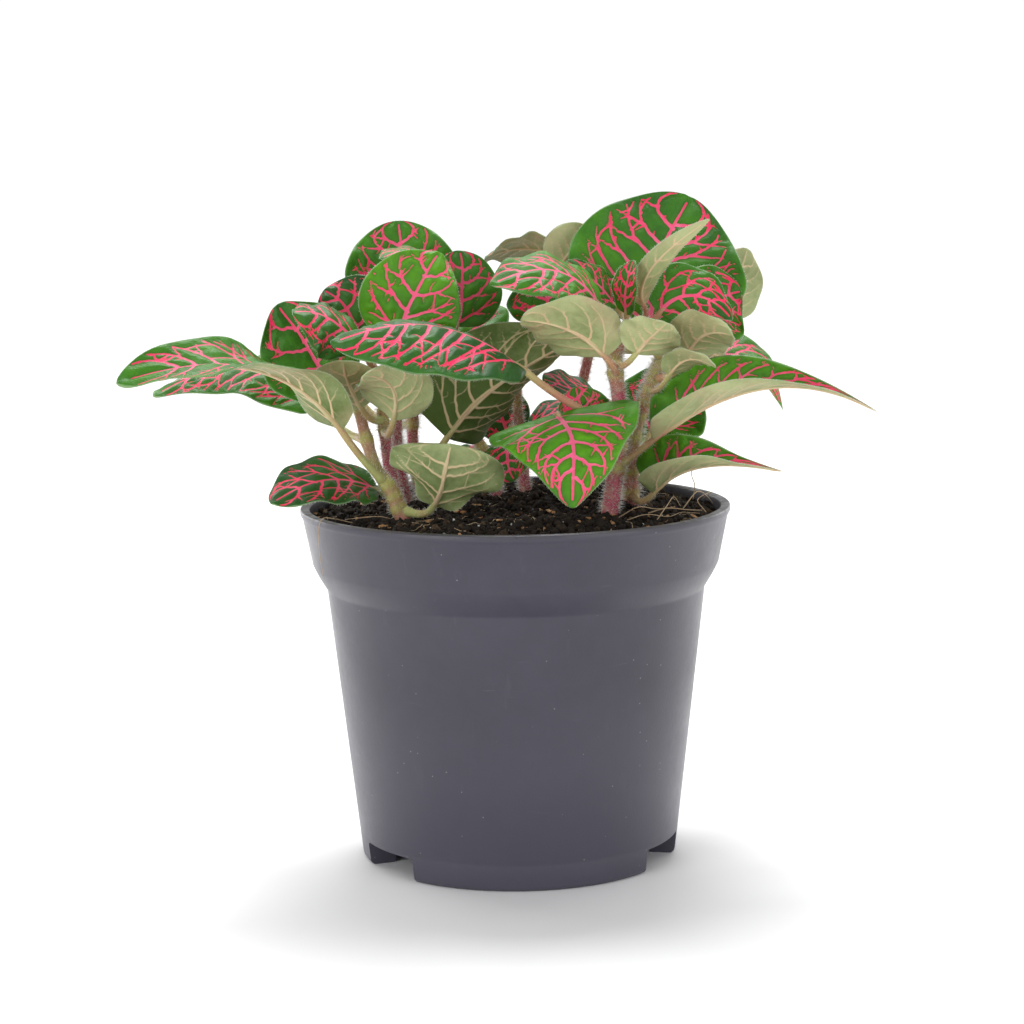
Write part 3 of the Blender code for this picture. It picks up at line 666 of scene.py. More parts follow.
def makeChips():
    rng = random.Random(41)
    shortest, spread, rarity = soilShape["chipLength"]
    noise.seed_set(41)  # without it noise_vector starts from the clock
    bm = bmesh.new()
    shade = bm.verts.layers.float.new("shade")
    for _ in range(soilShape["chips"]):
        x, y = soilSpot(rng)
        length = shortest + spread * rng.random() ** rarity
        turn = Matrix.Rotation(rng.random() * math.tau, 4, "Z")
        turn = turn @ Matrix.Rotation(rng.uniform(-0.6, 0.6), 4, "X")
        stretch = Matrix.Diagonal((length, 0.5 + rng.random() * 0.9, 0.35 + 0.4 * rng.random(), 1.0))
        place = Matrix.Translation(Vector((x, y, soilHeight(x, y) + 0.45)) * mm)
        made = bmesh.ops.create_cube(bm, size=mm, matrix=place @ turn @ stretch)["verts"]
        edges = list(dict.fromkeys(edge for vert in made for edge in vert.link_edges))
        bmesh.ops.bevel(bm, geom=edges, offset=soilShape["chipBevel"] * mm, offset_type="OFFSET", segments=1,
                        profile=0.5, affect="EDGES", material=-1)
    for vert in bm.verts:
        step = noise.noise_vector(vert.co / mm * 1.7)
        vert.co += step * soilShape["chipWarp"] * mm
        vert[shade] = 0.5 + 0.5 * noise.noise(vert.co / mm * 0.6)
    return meshFrom(bm, "chips")


def gridSheet(columns, rows, split=None):  # a flat grid with the column and row of each of its corners
    bm = bmesh.new()
    bmesh.ops.create_grid(bm, x_segments=columns, y_segments=rows, size=0.5)
    mesh = meshFrom(bm, "sheet")
    flat = np.empty(len(mesh.vertices) * 3)
    mesh.vertices.foreach_get("co", flat)
    flat = flat.reshape(-1, 3) + 0.5
    if split:  # faces past this column take the second material
        middles = np.empty(len(mesh.polygons) * 3)
        mesh.polygons.foreach_get("center", middles)
        past = (middles[0::3] + 0.5) * columns > split
        mesh.polygons.foreach_set("material_index", past.astype(np.int32))
    return mesh, np.rint(flat[:, 0] * columns).astype(int), np.rint(flat[:, 1] * rows).astype(int)


def writeValues(mesh, name, values):
    layer = mesh.attributes.new(name, "FLOAT", "POINT")
    layer.data.foreach_set("value", np.ascontiguousarray(values, np.float32))


def sewSheet(mesh):  # joins the seam of a rolled grid and closes its ends
    bm = bmesh.new()
    bm.from_mesh(mesh)
    bmesh.ops.remove_doubles(bm, verts=bm.verts[:], dist=0.002 * mm)
    openEdges = [edge for edge in bm.edges if edge.is_boundary]
    if openEdges:
        bmesh.ops.holes_fill(bm, edges=openEdges, sides=0)
    bmesh.ops.recalc_face_normals(bm, faces=bm.faces[:])
    bm.to_mesh(mesh)
    bm.free()
    return mesh


def unit(vectors):
    size = np.linalg.norm(vectors, axis=-1, keepdims=True)
    return vectors / np.maximum(size, 1e-9)


def rolledTube(route, radii, sides, shape=None):  # points and radii in mm; shape swells each ring
    route = np.array([tuple(point) for point in route], float)
    heading = unit(np.gradient(route, axis=0))
    sideways = np.zeros_like(route)
    carried = np.cross(heading[0], (0.31, 0.95, 0.05))
    for index, ahead in enumerate(heading):
        carried = carried - ahead * carried.dot(ahead)
        carried = carried / np.linalg.norm(carried)
        sideways[index] = carried
    over = np.cross(heading, sideways)
    mesh, column, row = gridSheet(sides, len(route) - 1)
    angle = column / sides * math.tau
    radius = np.asarray(radii, float)[row] * (1.0 if shape is None else shape(angle, row))
    outward = sideways[row] * np.cos(angle)[:, None] + over[row] * np.sin(angle)[:, None]
    places = route[row] + outward * radius[:, None]
    mesh.vertices.foreach_set("co", (places * mm).ravel())
    return mesh, column, row


def joinMeshes(parts, name):  # each part is a mesh and its material number, or None to keep its own
    bm = bmesh.new()
    for mesh, number in parts:
        if number is not None:
            mesh.polygons.foreach_set("material_index", np.full(len(mesh.polygons), number, np.int32))
        bm.from_mesh(mesh)
        bpy.data.meshes.remove(mesh)
    return meshFrom(bm, name)


def makeThreads():
    rng = random.Random(7)
    steps = soilShape["threadSteps"]
    parts = []
    for _ in range(soilShape["threads"]):
        x, y = soilSpot(rng, soilShape["threadReach"])
        angle, length = rng.random() * math.tau, rng.uniform(4.0, 15.0)
        turn = rng.uniform(-0.09, 0.09)
        points = []
        for step in range(steps + 1):
            lift = 0.35 + 0.5 * math.sin(step / steps * math.pi) * rng.random()
            points.append((x, y, soilHeight(x, y) + lift))
            angle += turn + rng.uniform(-0.35, 0.35)
            x += math.cos(angle) * length / steps
            y += math.sin(angle) * length / steps
            if math.hypot(x, y) > soilShape["reach"] - 0.1:  # turned back from the wall
                x, y = x * 0.985, y * 0.985
        thick = rng.uniform(0.09, 0.2)
        radii = [thick * (1.0 - 0.6 * step / steps) for step in range(steps + 1)]
        parts.append((sewSheet(rolledTube(points, radii, 5)[0]), None))
    for points, thick in looseRoots:
        route = smoothRoute([Vector(point) for point in points], 5)
        radii = [thick * (1.0 - 0.5 * step / (len(route) - 1)) for step in range(len(route))]
        parts.append((sewSheet(rolledTube(route, radii, 6)[0]), None))
    return joinMeshes(parts, "rootThreads")


looseRoots = (  # fine roots that stand or hang clear of the soil, in mm
    (((-44, -26, 98.0), (-49, -30, 99.8), (-51.5, -31.9, 100.0), (-52.6, -32.4, 97.0), (-52.4, -31.8, 90.0),
      (-51.6, -31.2, 84.0)), 0.13),
    (((50, 4, 99.0), (50.5, 3, 103.0), (49.5, 2, 107.0), (51.5, 1, 112.0), (53, 1, 114.0)), 0.17),
    (((28, -26, 98.6), (33, -28, 101.6), (38, -25, 100.6), (43, -27, 101.4)), 0.17),
    (((36, -22, 99.0), (41, -24, 100.6), (47, -22, 99.8), (51, -16, 98.8)), 0.20),
    (((38, -30, 98.4), (41, -27, 102.0), (43, -22, 103.4), (45, -19, 100.4)), 0.15),
    (((46, -14, 99.0), (50, -12, 103.4), (53, -8, 101.6), (55, -4, 98.8)), 0.16),
    (((52, -18, 98.6), (50, -14, 101.4), (54, -10, 103.0), (52, -5, 100.4)), 0.13),
    (((30, -30, 98.4), (35, -31, 100.0), (41, -30, 99.2), (45, -25, 99.6), (50, -22, 98.8)), 0.13),
    (((-34, -22, 98.4), (-37, -26, 99.6), (-42, -27, 99.4), (-46, -24, 98.6)), 0.14),
)


def makeSoil():
    addPiece("soilBed", makeSoilBed(), [peatPaint()], ["soil"])
    crumbs = scatter(**soilShape["crumbs"])
    addPiece("soilCrumbs", crumbs, [crumbPaint()], [])
    addPiece("soilBarkChips", makeChips(), [chipPaint()], [])
    grit = scatter(**soilShape["grit"])
    ink = soilFinish
    whiteGrit = twoTonePaint("whiteGrit", 0.7, 0.4, 900.0, 2.0, ink["gritGrey"], ink["gritWhite"])
    addPiece("soilGrit", grit, [whiteGrit], [])
    rootBark = twoTonePaint("rootThread", 0.7, 0.3, 260.0, 3.0, ink["rootBrown"], ink["rootTan"])
    addPiece("soilRootThreads", makeThreads(), [rootBark], [])
    print("soil made")


# name, radius and the points from the soil upwards, in mm
shootRows = (
    ("stem_left", 1.9, ((-31, -15, 98), (-34, -13, 105), (-38, -9, 110), (-41, -4, 118), (-44, 0, 130))),
    ("stem_left_inner", 1.7, ((-33, 2, 98), (-35, 2, 109), (-36, 2, 117), (-37, 2, 127))),
    ("stem_left_hairy", 1.6, ((-31, 14, 98), (-33, 12, 110), (-33, 8, 121), (-31, 5, 140))),
    ("stem_left_back", 1.6, ((-26, 20, 98), (-29, 20, 111), (-28, 18, 127), (-21, 14, 145))),
    ("stem_centre", 1.5, ((-5, 20, 99), (-7, 21, 107), (-14, 26, 121), (-20, 31, 134))),
    ("stem_centre_right", 1.5, ((3, 20, 99), (2, 24, 111), (1, 28, 126), (2, 28, 146))),
    ("stem_right", 2.1, ((26, -12, 98), (28, -10, 112), (29, -8, 127), (28, -6, 141), (34, 0, 150))),
    ("stem_right_second", 2.0, ((32, -1, 98), (33, -2, 117), (37, -4, 130), (41, -5, 140))),
    ("stem_back", 1.8, ((14, 34, 100), (16, 38, 112), (20, 40, 128), (24, 38, 146))),
)
shootShape = {"buried": 10.0, "steps": 14, "sides": 28, "hairs": 3200, "hairLength": (0.6, 2.7),
              "hairRadius": 0.06, "knotSwell": 0.26, "knotReach": 1.7, "thinning": (1.1, 0.35),
              "tipScale": (0.9, 0.62, 0.12), "petioleClearance": 1.3}
shootLook = {  # how red and how hairy
    "stem_left": (0.2, 0.25), "stem_left_inner": (0.75, 0.4), "stem_left_hairy": (0.8, 0.9),
    "stem_left_back": (0.7, 0.8), "stem_centre": (0.6, 0.5), "stem_centre_right": (0.5, 0.6),
    "stem_right": (0.6, 1.0), "stem_right_second": (0.45, 1.0), "stem_back": (0.3, 0.6),
}


def shootRoute(row, steps):
    points = [Vector(point) for point in row[2]]
    up = (points[1] - points[0]).normalized()
    return [points[0] - up * shootShape["buried"]] + smoothRoute(points, steps)


def shootPoint(name, height):  # centre and radius of a shoot where it reaches a height
    row = next(item for item in shootRows if item[0] == name)
    route = shootRoute(row, 3)
    for start, end in zip(route, route[1:]):
        if start.z <= height <= end.z:
            return start.lerp(end, (height - start.z) / (end.z - start.z)), row[1] * shootShape["thinning"][0]
    return route[-1], row[1]


def addHair(bm, root, direction, length, radius):
    middle = (root + direction * (length * 0.46)) * mm
    place = Matrix.Translation(middle) @ direction.to_track_quat("Z", "Y").to_matrix().to_4x4()
    bmesh.ops.create_cone(bm, cap_ends=True, segments=3, radius1=radius * mm, radius2=0.0, depth=length * mm,
                          matrix=place)


def makeShoot(row, index):
    name, radius, _ = row
    reddish, hairy = shootLook[name]
    rng = random.Random(100 + index)
    route = shootRoute(row, shootShape["steps"])
    knots = [leaf[2] for leaf in leafRows if leaf[1] == name] + [route[-1].z - 1.0]
    heights = np.array([point.z for point in route])
    swell = np.zeros(len(route))
    for height in knots:
        swell = np.maximum(swell, np.exp(-((heights - height) / shootShape["knotReach"]) ** 2))
    share = np.linspace(0.0, 1.0, len(route))
    thickest, loss = shootShape["thinning"]
    radii = radius * (thickest - loss * share) * (1.0 + shootShape["knotSwell"] * swell)
    radii[-3:] *= shootShape["tipScale"]
    phase = rng.random() * math.tau

    def ribs(angle, ring):
        return 1.0 + 0.045 * np.cos(4 * angle + phase + ring * 0.03) + 0.018 * np.sin(9 * angle - ring * 0.21)

    mesh, _, ring = rolledTube(route, radii, shootShape["sides"], ribs)
    writeValues(mesh, "knot", np.clip(swell[ring] * 0.8, 0.0, 1.0))
    writeValues(mesh, "blush", reddish + 0.25 * np.sin(share[ring] * 9.0 + phase) + 0.3 * (1.0 - share[ring]))
    sewSheet(mesh)
    shortest, longest = shootShape["hairLength"]
    ground = row[2][0][2] - 1.0
    bare = next(step for step, point in enumerate(route) if point.z > ground)  # rings down in the soil

    def addShootHair(hairs, _):
        step = rng.randrange(bare, len(route) - 2)
        along = route[step + 1] - route[step]
        centre = route[step] + along * rng.random()
        outward = along.orthogonal().normalized()
        outward.rotate(Matrix.Rotation(rng.random() * math.tau, 3, along))
        tilt = (outward + along.normalized() * rng.uniform(-0.5, 0.6)).normalized()
        length = shortest + (longest - shortest) * rng.random() * (0.45 + 0.55 * hairy)
        addHair(hairs, centre + outward * float(radii[step]) * 0.97, tilt, length, shootShape["hairRadius"])

    hairs = growMany(round(shootShape["hairs"] * hairy), addShootHair)
    shoot = joinMeshes([(mesh, 0), (hairs, 1)], name + "Shoot")
    addPiece(pieceName(name), shoot, [finish["shoot"], finish["hair"]], [name])


# node, shoot, height of the petiole on it, base, middle and tip of the midrib, width,
# which way the upper side faces at the base and at the tip (degrees round from the front, degrees up)
# and how far the left and right halves curl up (degrees at the margin)
leafRows = (
    ("leaf_left_long", "stem_left", 106, (-47, -17, 122), (-70, -26, 140), (-105, -34, 137), 30,
     (180, 60), (0, 55), (15, 25)),
    ("leaf_left_under", "stem_left", 118, (-54, 12, 124), (-77, 16, 136), (-102, 12, 129), 25,
     (0, 72), (0, 76), (-20, -20)),
    ("leaf_left_low", "stem_left", 103, (-38, -6, 104), (-51, -14, 108), (-66, -24, 103), 26,
     (-10, 66), (-20, 66), (-8, 8)),
    ("leaf_left_round", "stem_left", 127, (-50, 9, 131), (-58, 9, 143), (-66, 9, 155), 30,
     (-20, 30), (-20, 20), (20, 10)),
    ("leaf_left_folded", "stem_left_inner", 126, (-42, -8, 144), (-50, -11, 152), (-60, -13, 154), 26,
     (0, 60), (0, 60), (-30, -30)),
    ("leaf_left_dark", "stem_left_hairy", 130, (-42, 17, 142), (-47, 20, 152), (-54, 23, 158), 26,
     (0, 20), (0, 40), (10, 10)),
    ("leaf_left_tall", "stem_left_back", 136, (-31, 26, 146), (-32, 31, 163), (-33, 37, 177), 33,
     (5, 20), (5, 20), (15, 25)),
    ("leaf_left_sliver", "stem_left_back", 143, (-21, 20, 165), (-28, 18, 169), (-37, 12, 167), 16,
     (0, 75), (0, 75), (-10, -10)),
    ("leaf_left_front", "stem_left_hairy", 139, (-31, 0, 145), (-27, -2, 158), (-20, 4, 169), 29,
     (0, 12), (0, 25), (10, 10)),
    ("leaf_left_right", "stem_left_back", 144, (-16, 10, 148), (-14, 13, 159), (-15, 18, 169), 23,
     (20, 15), (20, 20), (5, 5)),
    ("leaf_arched", "stem_right", 121, (3, -20, 138), (-21, -32, 151), (-48, -36, 147), 38,
     (0, 80), (0, 65), (-35, -35)),
    ("leaf_pale_a", "stem_left_inner", 123, (-42, -7, 127), (-45, -11, 134), (-46, -16, 141), 23,
     (170, 20), (170, 30), (10, 10)),
    ("leaf_pale_b", "stem_left_inner", 120, (-33, -12, 124), (-33, -19, 134), (-40, -27, 138), 22,
     (170, 20), (170, 40), (15, 15)),
    ("leaf_under_big", "stem_left_back", 104, (-19, 6, 117), (-4, 7, 132), (18, 10, 144), 40,
     (175, 30), (175, 35), (60, 10)),
    ("leaf_front_pale", "stem_left", 100, (-22, -24, 102), (-19, -30, 110), (-17, -33, 120), 33,
     (175, 10), (175, 30), (20, 20)),
    ("leaf_front_bright", "stem_right", 116, (12, -14, 125), (15, -32, 120), (15, -46, 104), 42,
     (5, 60), (5, 40), (14, -18)),
    ("leaf_mid_low", "stem_centre_right", 108, (-2, -3, 117), (-2, -8, 112), (0, -12, 107), 16,
     (-20, 35), (-20, 35), (0, 0)),
    ("leaf_mid_dark", "stem_centre", 106, (-1, 33, 113), (-4, 34, 121), (-7, 35, 128), 17,
     (0, 20), (0, 25), (10, 10)),
    ("leaf_mid_striped", "stem_centre_right", 112, (5, 28, 117), (10, 26, 121), (17, 22, 123), 15,
     (0, 60), (0, 60), (5, 5)),
    ("leaf_mid_small", "stem_right", 116, (22, -3, 120), (19, -5, 126), (17, -4, 132), 15,
     (-10, 25), (-10, 30), (10, 10)),
    ("leaf_mid_shade", "stem_right_second", 118, (24, 14, 127), (16, 12, 130), (8, 9, 133), 19,
     (0, 70), (0, 60), (0, 0)),
    ("leaf_top_arc", "stem_right", 147, (24, -4, 154), (12, -10, 164), (-6, -18, 161), 27,
     (10, 60), (0, 60), (-15, -15)),
    ("leaf_top_back", "stem_centre_right", 145, (16, 31, 165), (4, 31, 169), (-8, 27, 166), 22,
     (180, 65), (180, 65), (0, 0)),
    ("leaf_top_green", "stem_centre_right", 142, (12, 21, 162), (17, 22, 169), (22, 24, 175), 16,
     (180, 25), (180, 25), (10, 10)),
    ("leaf_top_strip", "stem_right", 149, (29, 10, 153), (23, 8, 160), (15, 10, 166), 14,
     (0, 60), (0, 60), (0, 0)),
    ("leaf_mid_hot", "stem_centre_right", 138, (11, 15, 148), (10, 16, 155), (9, 19, 162), 24,
     (0, 25), (0, 30), (10, 10)),
    ("leaf_crown_big", "stem_right", 150, (38, 13, 147), (42, 18, 165), (51, 28, 183), 52,
     (0, 20), (0, 35), (15, 15)),
    ("leaf_crown_curl", "stem_right", 149, (36, -6, 154), (38, -12, 165), (53, -20, 178), 7,
     (180, 10), (150, 40), (20, 20)),
    ("leaf_crown_wing", "stem_right", 147, (31, -8, 152), (31, -12, 160), (33, -12, 167), 10,
     (-40, 10), (-50, 10), (15, 15)),
    ("leaf_crown_fold", "stem_right_second", 139, (40, -7, 152), (50, -8, 157), (60, -9, 150), 21,
     (10, 25), (10, 30), (-10, -10)),
    ("leaf_crown_right", "stem_right_second", 136, (50, 3, 147), (57, 6, 154), (64, 8, 157), 24,
     (20, 20), (20, 20), (0, 0)),
    ("leaf_crown_under_right", "stem_right_second", 134, (47, -14, 141), (52, -17, 147), (59, -23, 147), 20,
     (180, 40), (180, 45), (10, 10)),
    ("leaf_crown_under_left", "stem_right", 136, (25, -16, 141), (15, -21, 149), (2, -25, 152), 26,
     (180, 50), (180, 54), (15, 15)),
    ("leaf_crown_under_mid", "stem_right", 139, (33, -19, 142), (37, -23, 147), (41, -28, 151), 18,
     (180, 38), (180, 38), (10, 10)),
    ("leaf_crown_olive", "stem_right_second", 128, (49, -4, 135), (53, -5, 139), (58, -5, 143), 13,
     (180, 40), (180, 40), (0, 0)),
    ("leaf_right_bud", "stem_right_second", 131, (42, -18, 136), (47, -24, 141), (54, -29, 139), 11,
     (180, 50), (180, 60), (10, 10)),
    ("leaf_right_upper", "stem_right_second", 124, (45, 9, 130), (63, 8, 139), (75, 0, 124), 26,
     (0, 60), (40, 50), (0, 0)),
    ("leaf_right_long", "stem_right", 110, (38, -13, 118), (70, -21, 133), (101, -27, 124), 25,
     (0, 88), (0, 76), (95, 43)),
    ("leaf_right_behind", "stem_right_second", 108, (38, 12, 116), (43, 14, 125), (50, 16, 133), 28,
     (-10, 30), (-10, 30), (0, 0)),
    ("leaf_right_low", "stem_right_second", 102, (38, -11, 103), (52, -15, 111), (76, -21, 109), 24,
     (0, 86), (0, 84), (95, 46)),
    ("leaf_right_olive", "stem_back", 140, (58, 28, 149), (64, 30, 158), (68, 34, 168), 20,
     (190, 20), (190, 20), (5, 5)),
    ("leaf_back_left", "stem_left_back", 120, (-44, 34, 124), (-62, 44, 136), (-80, 52, 128), 34,
     (180, 80), (180, 70), (-10, -10)),
    ("leaf_back_left_low", "stem_left_back", 106, (-15, 40, 107), (-12, 55, 109), (-14, 70, 104), 30,
     (0, 80), (180, 70), (-10, -10)),
    ("leaf_back_middle", "stem_centre", 112, (-12, 40, 116), (-16, 56, 126), (-18, 74, 120), 36,
     (180, 85), (180, 70), (-10, -10)),
    ("leaf_back_top", "stem_centre", 132, (-16, 40, 140), (-18, 52, 150), (-20, 66, 154), 34,
     (180, 60), (180, 50), (10, 10)),
    ("leaf_back_right_low", "stem_back", 104, (24, 48, 106), (34, 62, 114), (44, 74, 106), 32,
     (180, 85), (180, 60), (-10, -10)),
    ("leaf_back_right", "stem_back", 118, (32, 44, 124), (52, 48, 136), (74, 52, 130), 36,
     (150, 80), (150, 70), (-10, -10)),
    ("leaf_back_high", "stem_back", 144, (22, 50, 154), (20, 64, 164), (16, 78, 164), 36,
     (180, 70), (180, 60), (5, 5)),
    ("leaf_back_inner", "stem_back", 142, (34, 42, 152), (48, 46, 160), (64, 50, 158), 30,
     (170, 70), (170, 60), (0, 0)),
)
leafShape = {  # in mm, apart from the three shares of the outline and the counts
    "thickness": 0.46, "fineStep": 0.36, "step": 0.46, "hiddenStep": 0.75, "pucker": 0.62,
    "puckerReach": 1.15, "veinSink": 0.14, "ribRaise": 0.22, "roundness": 0.62, "taperStart": 0.25,
    "pinch": 0.06, "petioleRadius": 1.0, "stalkSides": 12, "stalkHairs": 130, "stalkHairLength": (0.4, 1.2),
    "stalkHairRadius": 0.042, "hairsPerMm": 2.2, "hairLength": (0.35, 0.75), "hairRadius": 0.034,
}
veinShape = {  # half thicknesses in mm, from root to end
    "spacing": 6.6, "fewest": 4, "most": 9, "midrib": (0.78, 0.30), "lateral": (0.54, 0.20), "fork": 0.40,
    "backFork": 0.34, "forkEnd": 0.38, "twig": (0.27, 0.13), "bridge": (0.28, 0.26),
    "brokenBridge": (0.28, 0.14), "marginTwig": (0.22, 0.11), "farthest": 3.0, "reach": 2.6,
}
largeLeaves = (  # cut from the finest grid
    "leaf_left_long", "leaf_arched", "leaf_front_bright", "leaf_under_big", "leaf_crown_big",
    "leaf_right_long", "leaf_top_arc", "leaf_crown_fold", "leaf_right_low", "leaf_left_round",
    "leaf_left_front", "leaf_left_tall", "leaf_left_under", "leaf_left_low", "leaf_front_pale",
    "leaf_right_upper", "leaf_right_behind",
)
paleLeaves = (  # show their undersides to the front
    "leaf_front_pale", "leaf_under_big", "leaf_crown_under_left", "leaf_crown_under_mid",
    "leaf_crown_under_right", "leaf_pale_a", "leaf_pale_b", "leaf_left_long", "leaf_right_long",
    "leaf_right_low", "leaf_crown_curl", "leaf_right_olive",
)
# the green's brightness is partly painted light and shade
leafLook = {  # how bright the green is, how pink the underside is
    "leaf_left_long": (0.38, 0.3), "leaf_left_under": (0.35, 0.2), "leaf_left_low": (0.10, 0.2),
    "leaf_left_round": (0.35, 0.2), "leaf_left_folded": (0.30, 0.3), "leaf_left_dark": (0.15, 0.2),
    "leaf_left_tall": (0.55, 0.2), "leaf_left_front": (0.70, 0.2), "leaf_left_right": (0.40, 0.2),
    # leaf_arched is painted dark green as painted shade; leaf_pale_a and leaf_pale_b are painted brighter, a
    # painted light against the arched leaf's shadow
    "leaf_arched": (0.10, 0.2), "leaf_pale_a": (0.70, 0.2), "leaf_pale_b": (0.75, 0.2),
    "leaf_under_big": (0.15, 0.0), "leaf_front_pale": (0.42, 0.0), "leaf_front_bright": (0.62, 0.2),
    "leaf_mid_low": (0.30, 0.2), "leaf_mid_dark": (0.15, 0.2), "leaf_mid_striped": (0.15, 0.3),
    "leaf_mid_shade": (0.10, 0.2), "leaf_top_arc": (0.50, 0.6), "leaf_top_back": (0.5, 0.4),
    "leaf_top_green": (0.80, 0.2), "leaf_mid_hot": (0.20, 0.4), "leaf_crown_big": (0.42, 0.2),
    "leaf_crown_curl": (0.75, 0.5), "leaf_crown_fold": (0.30, 0.2), "leaf_crown_under_left": (0.70, 0.5),
    "leaf_crown_under_mid": (0.80, 0.2), "leaf_crown_under_right": (0.70, 0.2),
    "leaf_crown_olive": (0.45, 0.5),
    "leaf_right_upper": (0.65, 0.2), "leaf_right_long": (0.62, 0.4), "leaf_right_low": (0.55, 0.3),
    # leaf_back_left_low is painted nearly black as painted shade, filling the dark gap behind the stems
    "leaf_right_olive": (0.70, 0.2), "leaf_right_bud": (0.6, 0.2), "leaf_back_left_low": (0.02, 0.0),
}
plainLook = (0.4, 0.2)
leafCut = {  # an exponent for where the blade is widest, how its point tapers, and its waves in mm
    "leaf_front_bright": (0.42, 0.66, 0.8), "leaf_crown_big": (0.78, 0.62, 0.9),
    "leaf_front_pale": (1.6, 0.62, 1.6), "leaf_right_long": (0.50, 2.2, 0.4),
    "leaf_right_low": (0.50, 1.9, 0.6), "leaf_under_big": (0.7, 0.62, 0.8),
    "leaf_crown_fold": (0.6, 0.8, 0.9), "leaf_left_front": (0.75, 0.62, 0.8),
    "leaf_left_round": (0.8, 0.62, 0.8), "leaf_right_upper": (0.6, 1.2, 0.5),
}
plainCut = (0.9, 0.62, 0.75)


def facing(direction):
    around, up = (math.radians(value) for value in direction)
    return Vector((math.sin(around) * math.cos(up), -math.cos(around) * math.cos(up), math.sin(up)))


def leafPath(row):  # petiole and midrib as two quadratic curves
    base, middle, tip = (Vector(point) for point in row[3:6])
    control = middle * 2 - (base + tip) / 2
    centre, radius = shootPoint(row[1], row[2])
    heading = (control - base).normalized()
    bend = base - heading * (base - centre).length * 0.45
    start = centre + (bend - centre).normalized() * (radius + shootShape["petioleClearance"])
    return (start, bend, base), (base, control, tip), centre


def curvePoints(curve, shares):
    a, b, c = (np.array(tuple(point)) for point in curve)
    t = np.asarray(shares, float)[:, None]
    return a * (1 - t) ** 2 + b * (2 * t * (1 - t)) + c * t * t


def curveHeadings(curve, shares):
    a, b, c = (np.array(tuple(point)) for point in curve)
    t = np.asarray(shares, float)[:, None]
    return unit((b - a) * (1 - t) + (c - b) * t + 1e-6)


def bladeHalf(shares, width, broad, taper):  # half width along the midrib: a rounded base and a point
    u = np.asarray(shares, float)
    body = np.sin(math.pi * np.clip(0.03 + 0.97 * np.clip(u, 0.0, 1.0) ** broad, 0.0, 1.0))
    rounded = (body > 0.999) | (u < leafShape["taperStart"])
    power = np.where(rounded, leafShape["roundness"], taper)
    pinch = np.minimum(1.0, np.sqrt(np.clip(u, 0.0, 1.0) / leafShape["pinch"]))
    return width / 2 * np.clip(body, 0.0, 1.0) ** power * pinch


def upperSide(row, u, ahead):  # where the upper side faces along the midrib, square to it
    share = u[:, None]
    face = np.array(tuple(facing(row[7]))) * (1 - share) + np.array(tuple(facing(row[8]))) * share
    return unit(face - ahead * (face * ahead).sum(axis=1, keepdims=True))


def bladePlaces(row, u, v):  # middle surface; u runs along the midrib and v from margin to margin
    midrib = leafPath(row)[1]
    width, curls = row[6], row[9]
    centre = curvePoints(midrib, u)
    ahead = curveHeadings(midrib, u)
    up = upperSide(row, u, ahead)
    side = np.cross(ahead, up)
    curl = np.radians(np.where(v > 0, curls[1], curls[0]))
    tilt = curl * (0.35 + 0.325 * np.abs(v))
    flat = bladeHalf(u, width, *leafCut.get(row[0], plainCut)[:2]) * np.abs(v)
    return centre + side * (np.sign(v) * flat * np.cos(tilt))[:, None] + up * (flat * np.sin(tilt))[:, None]


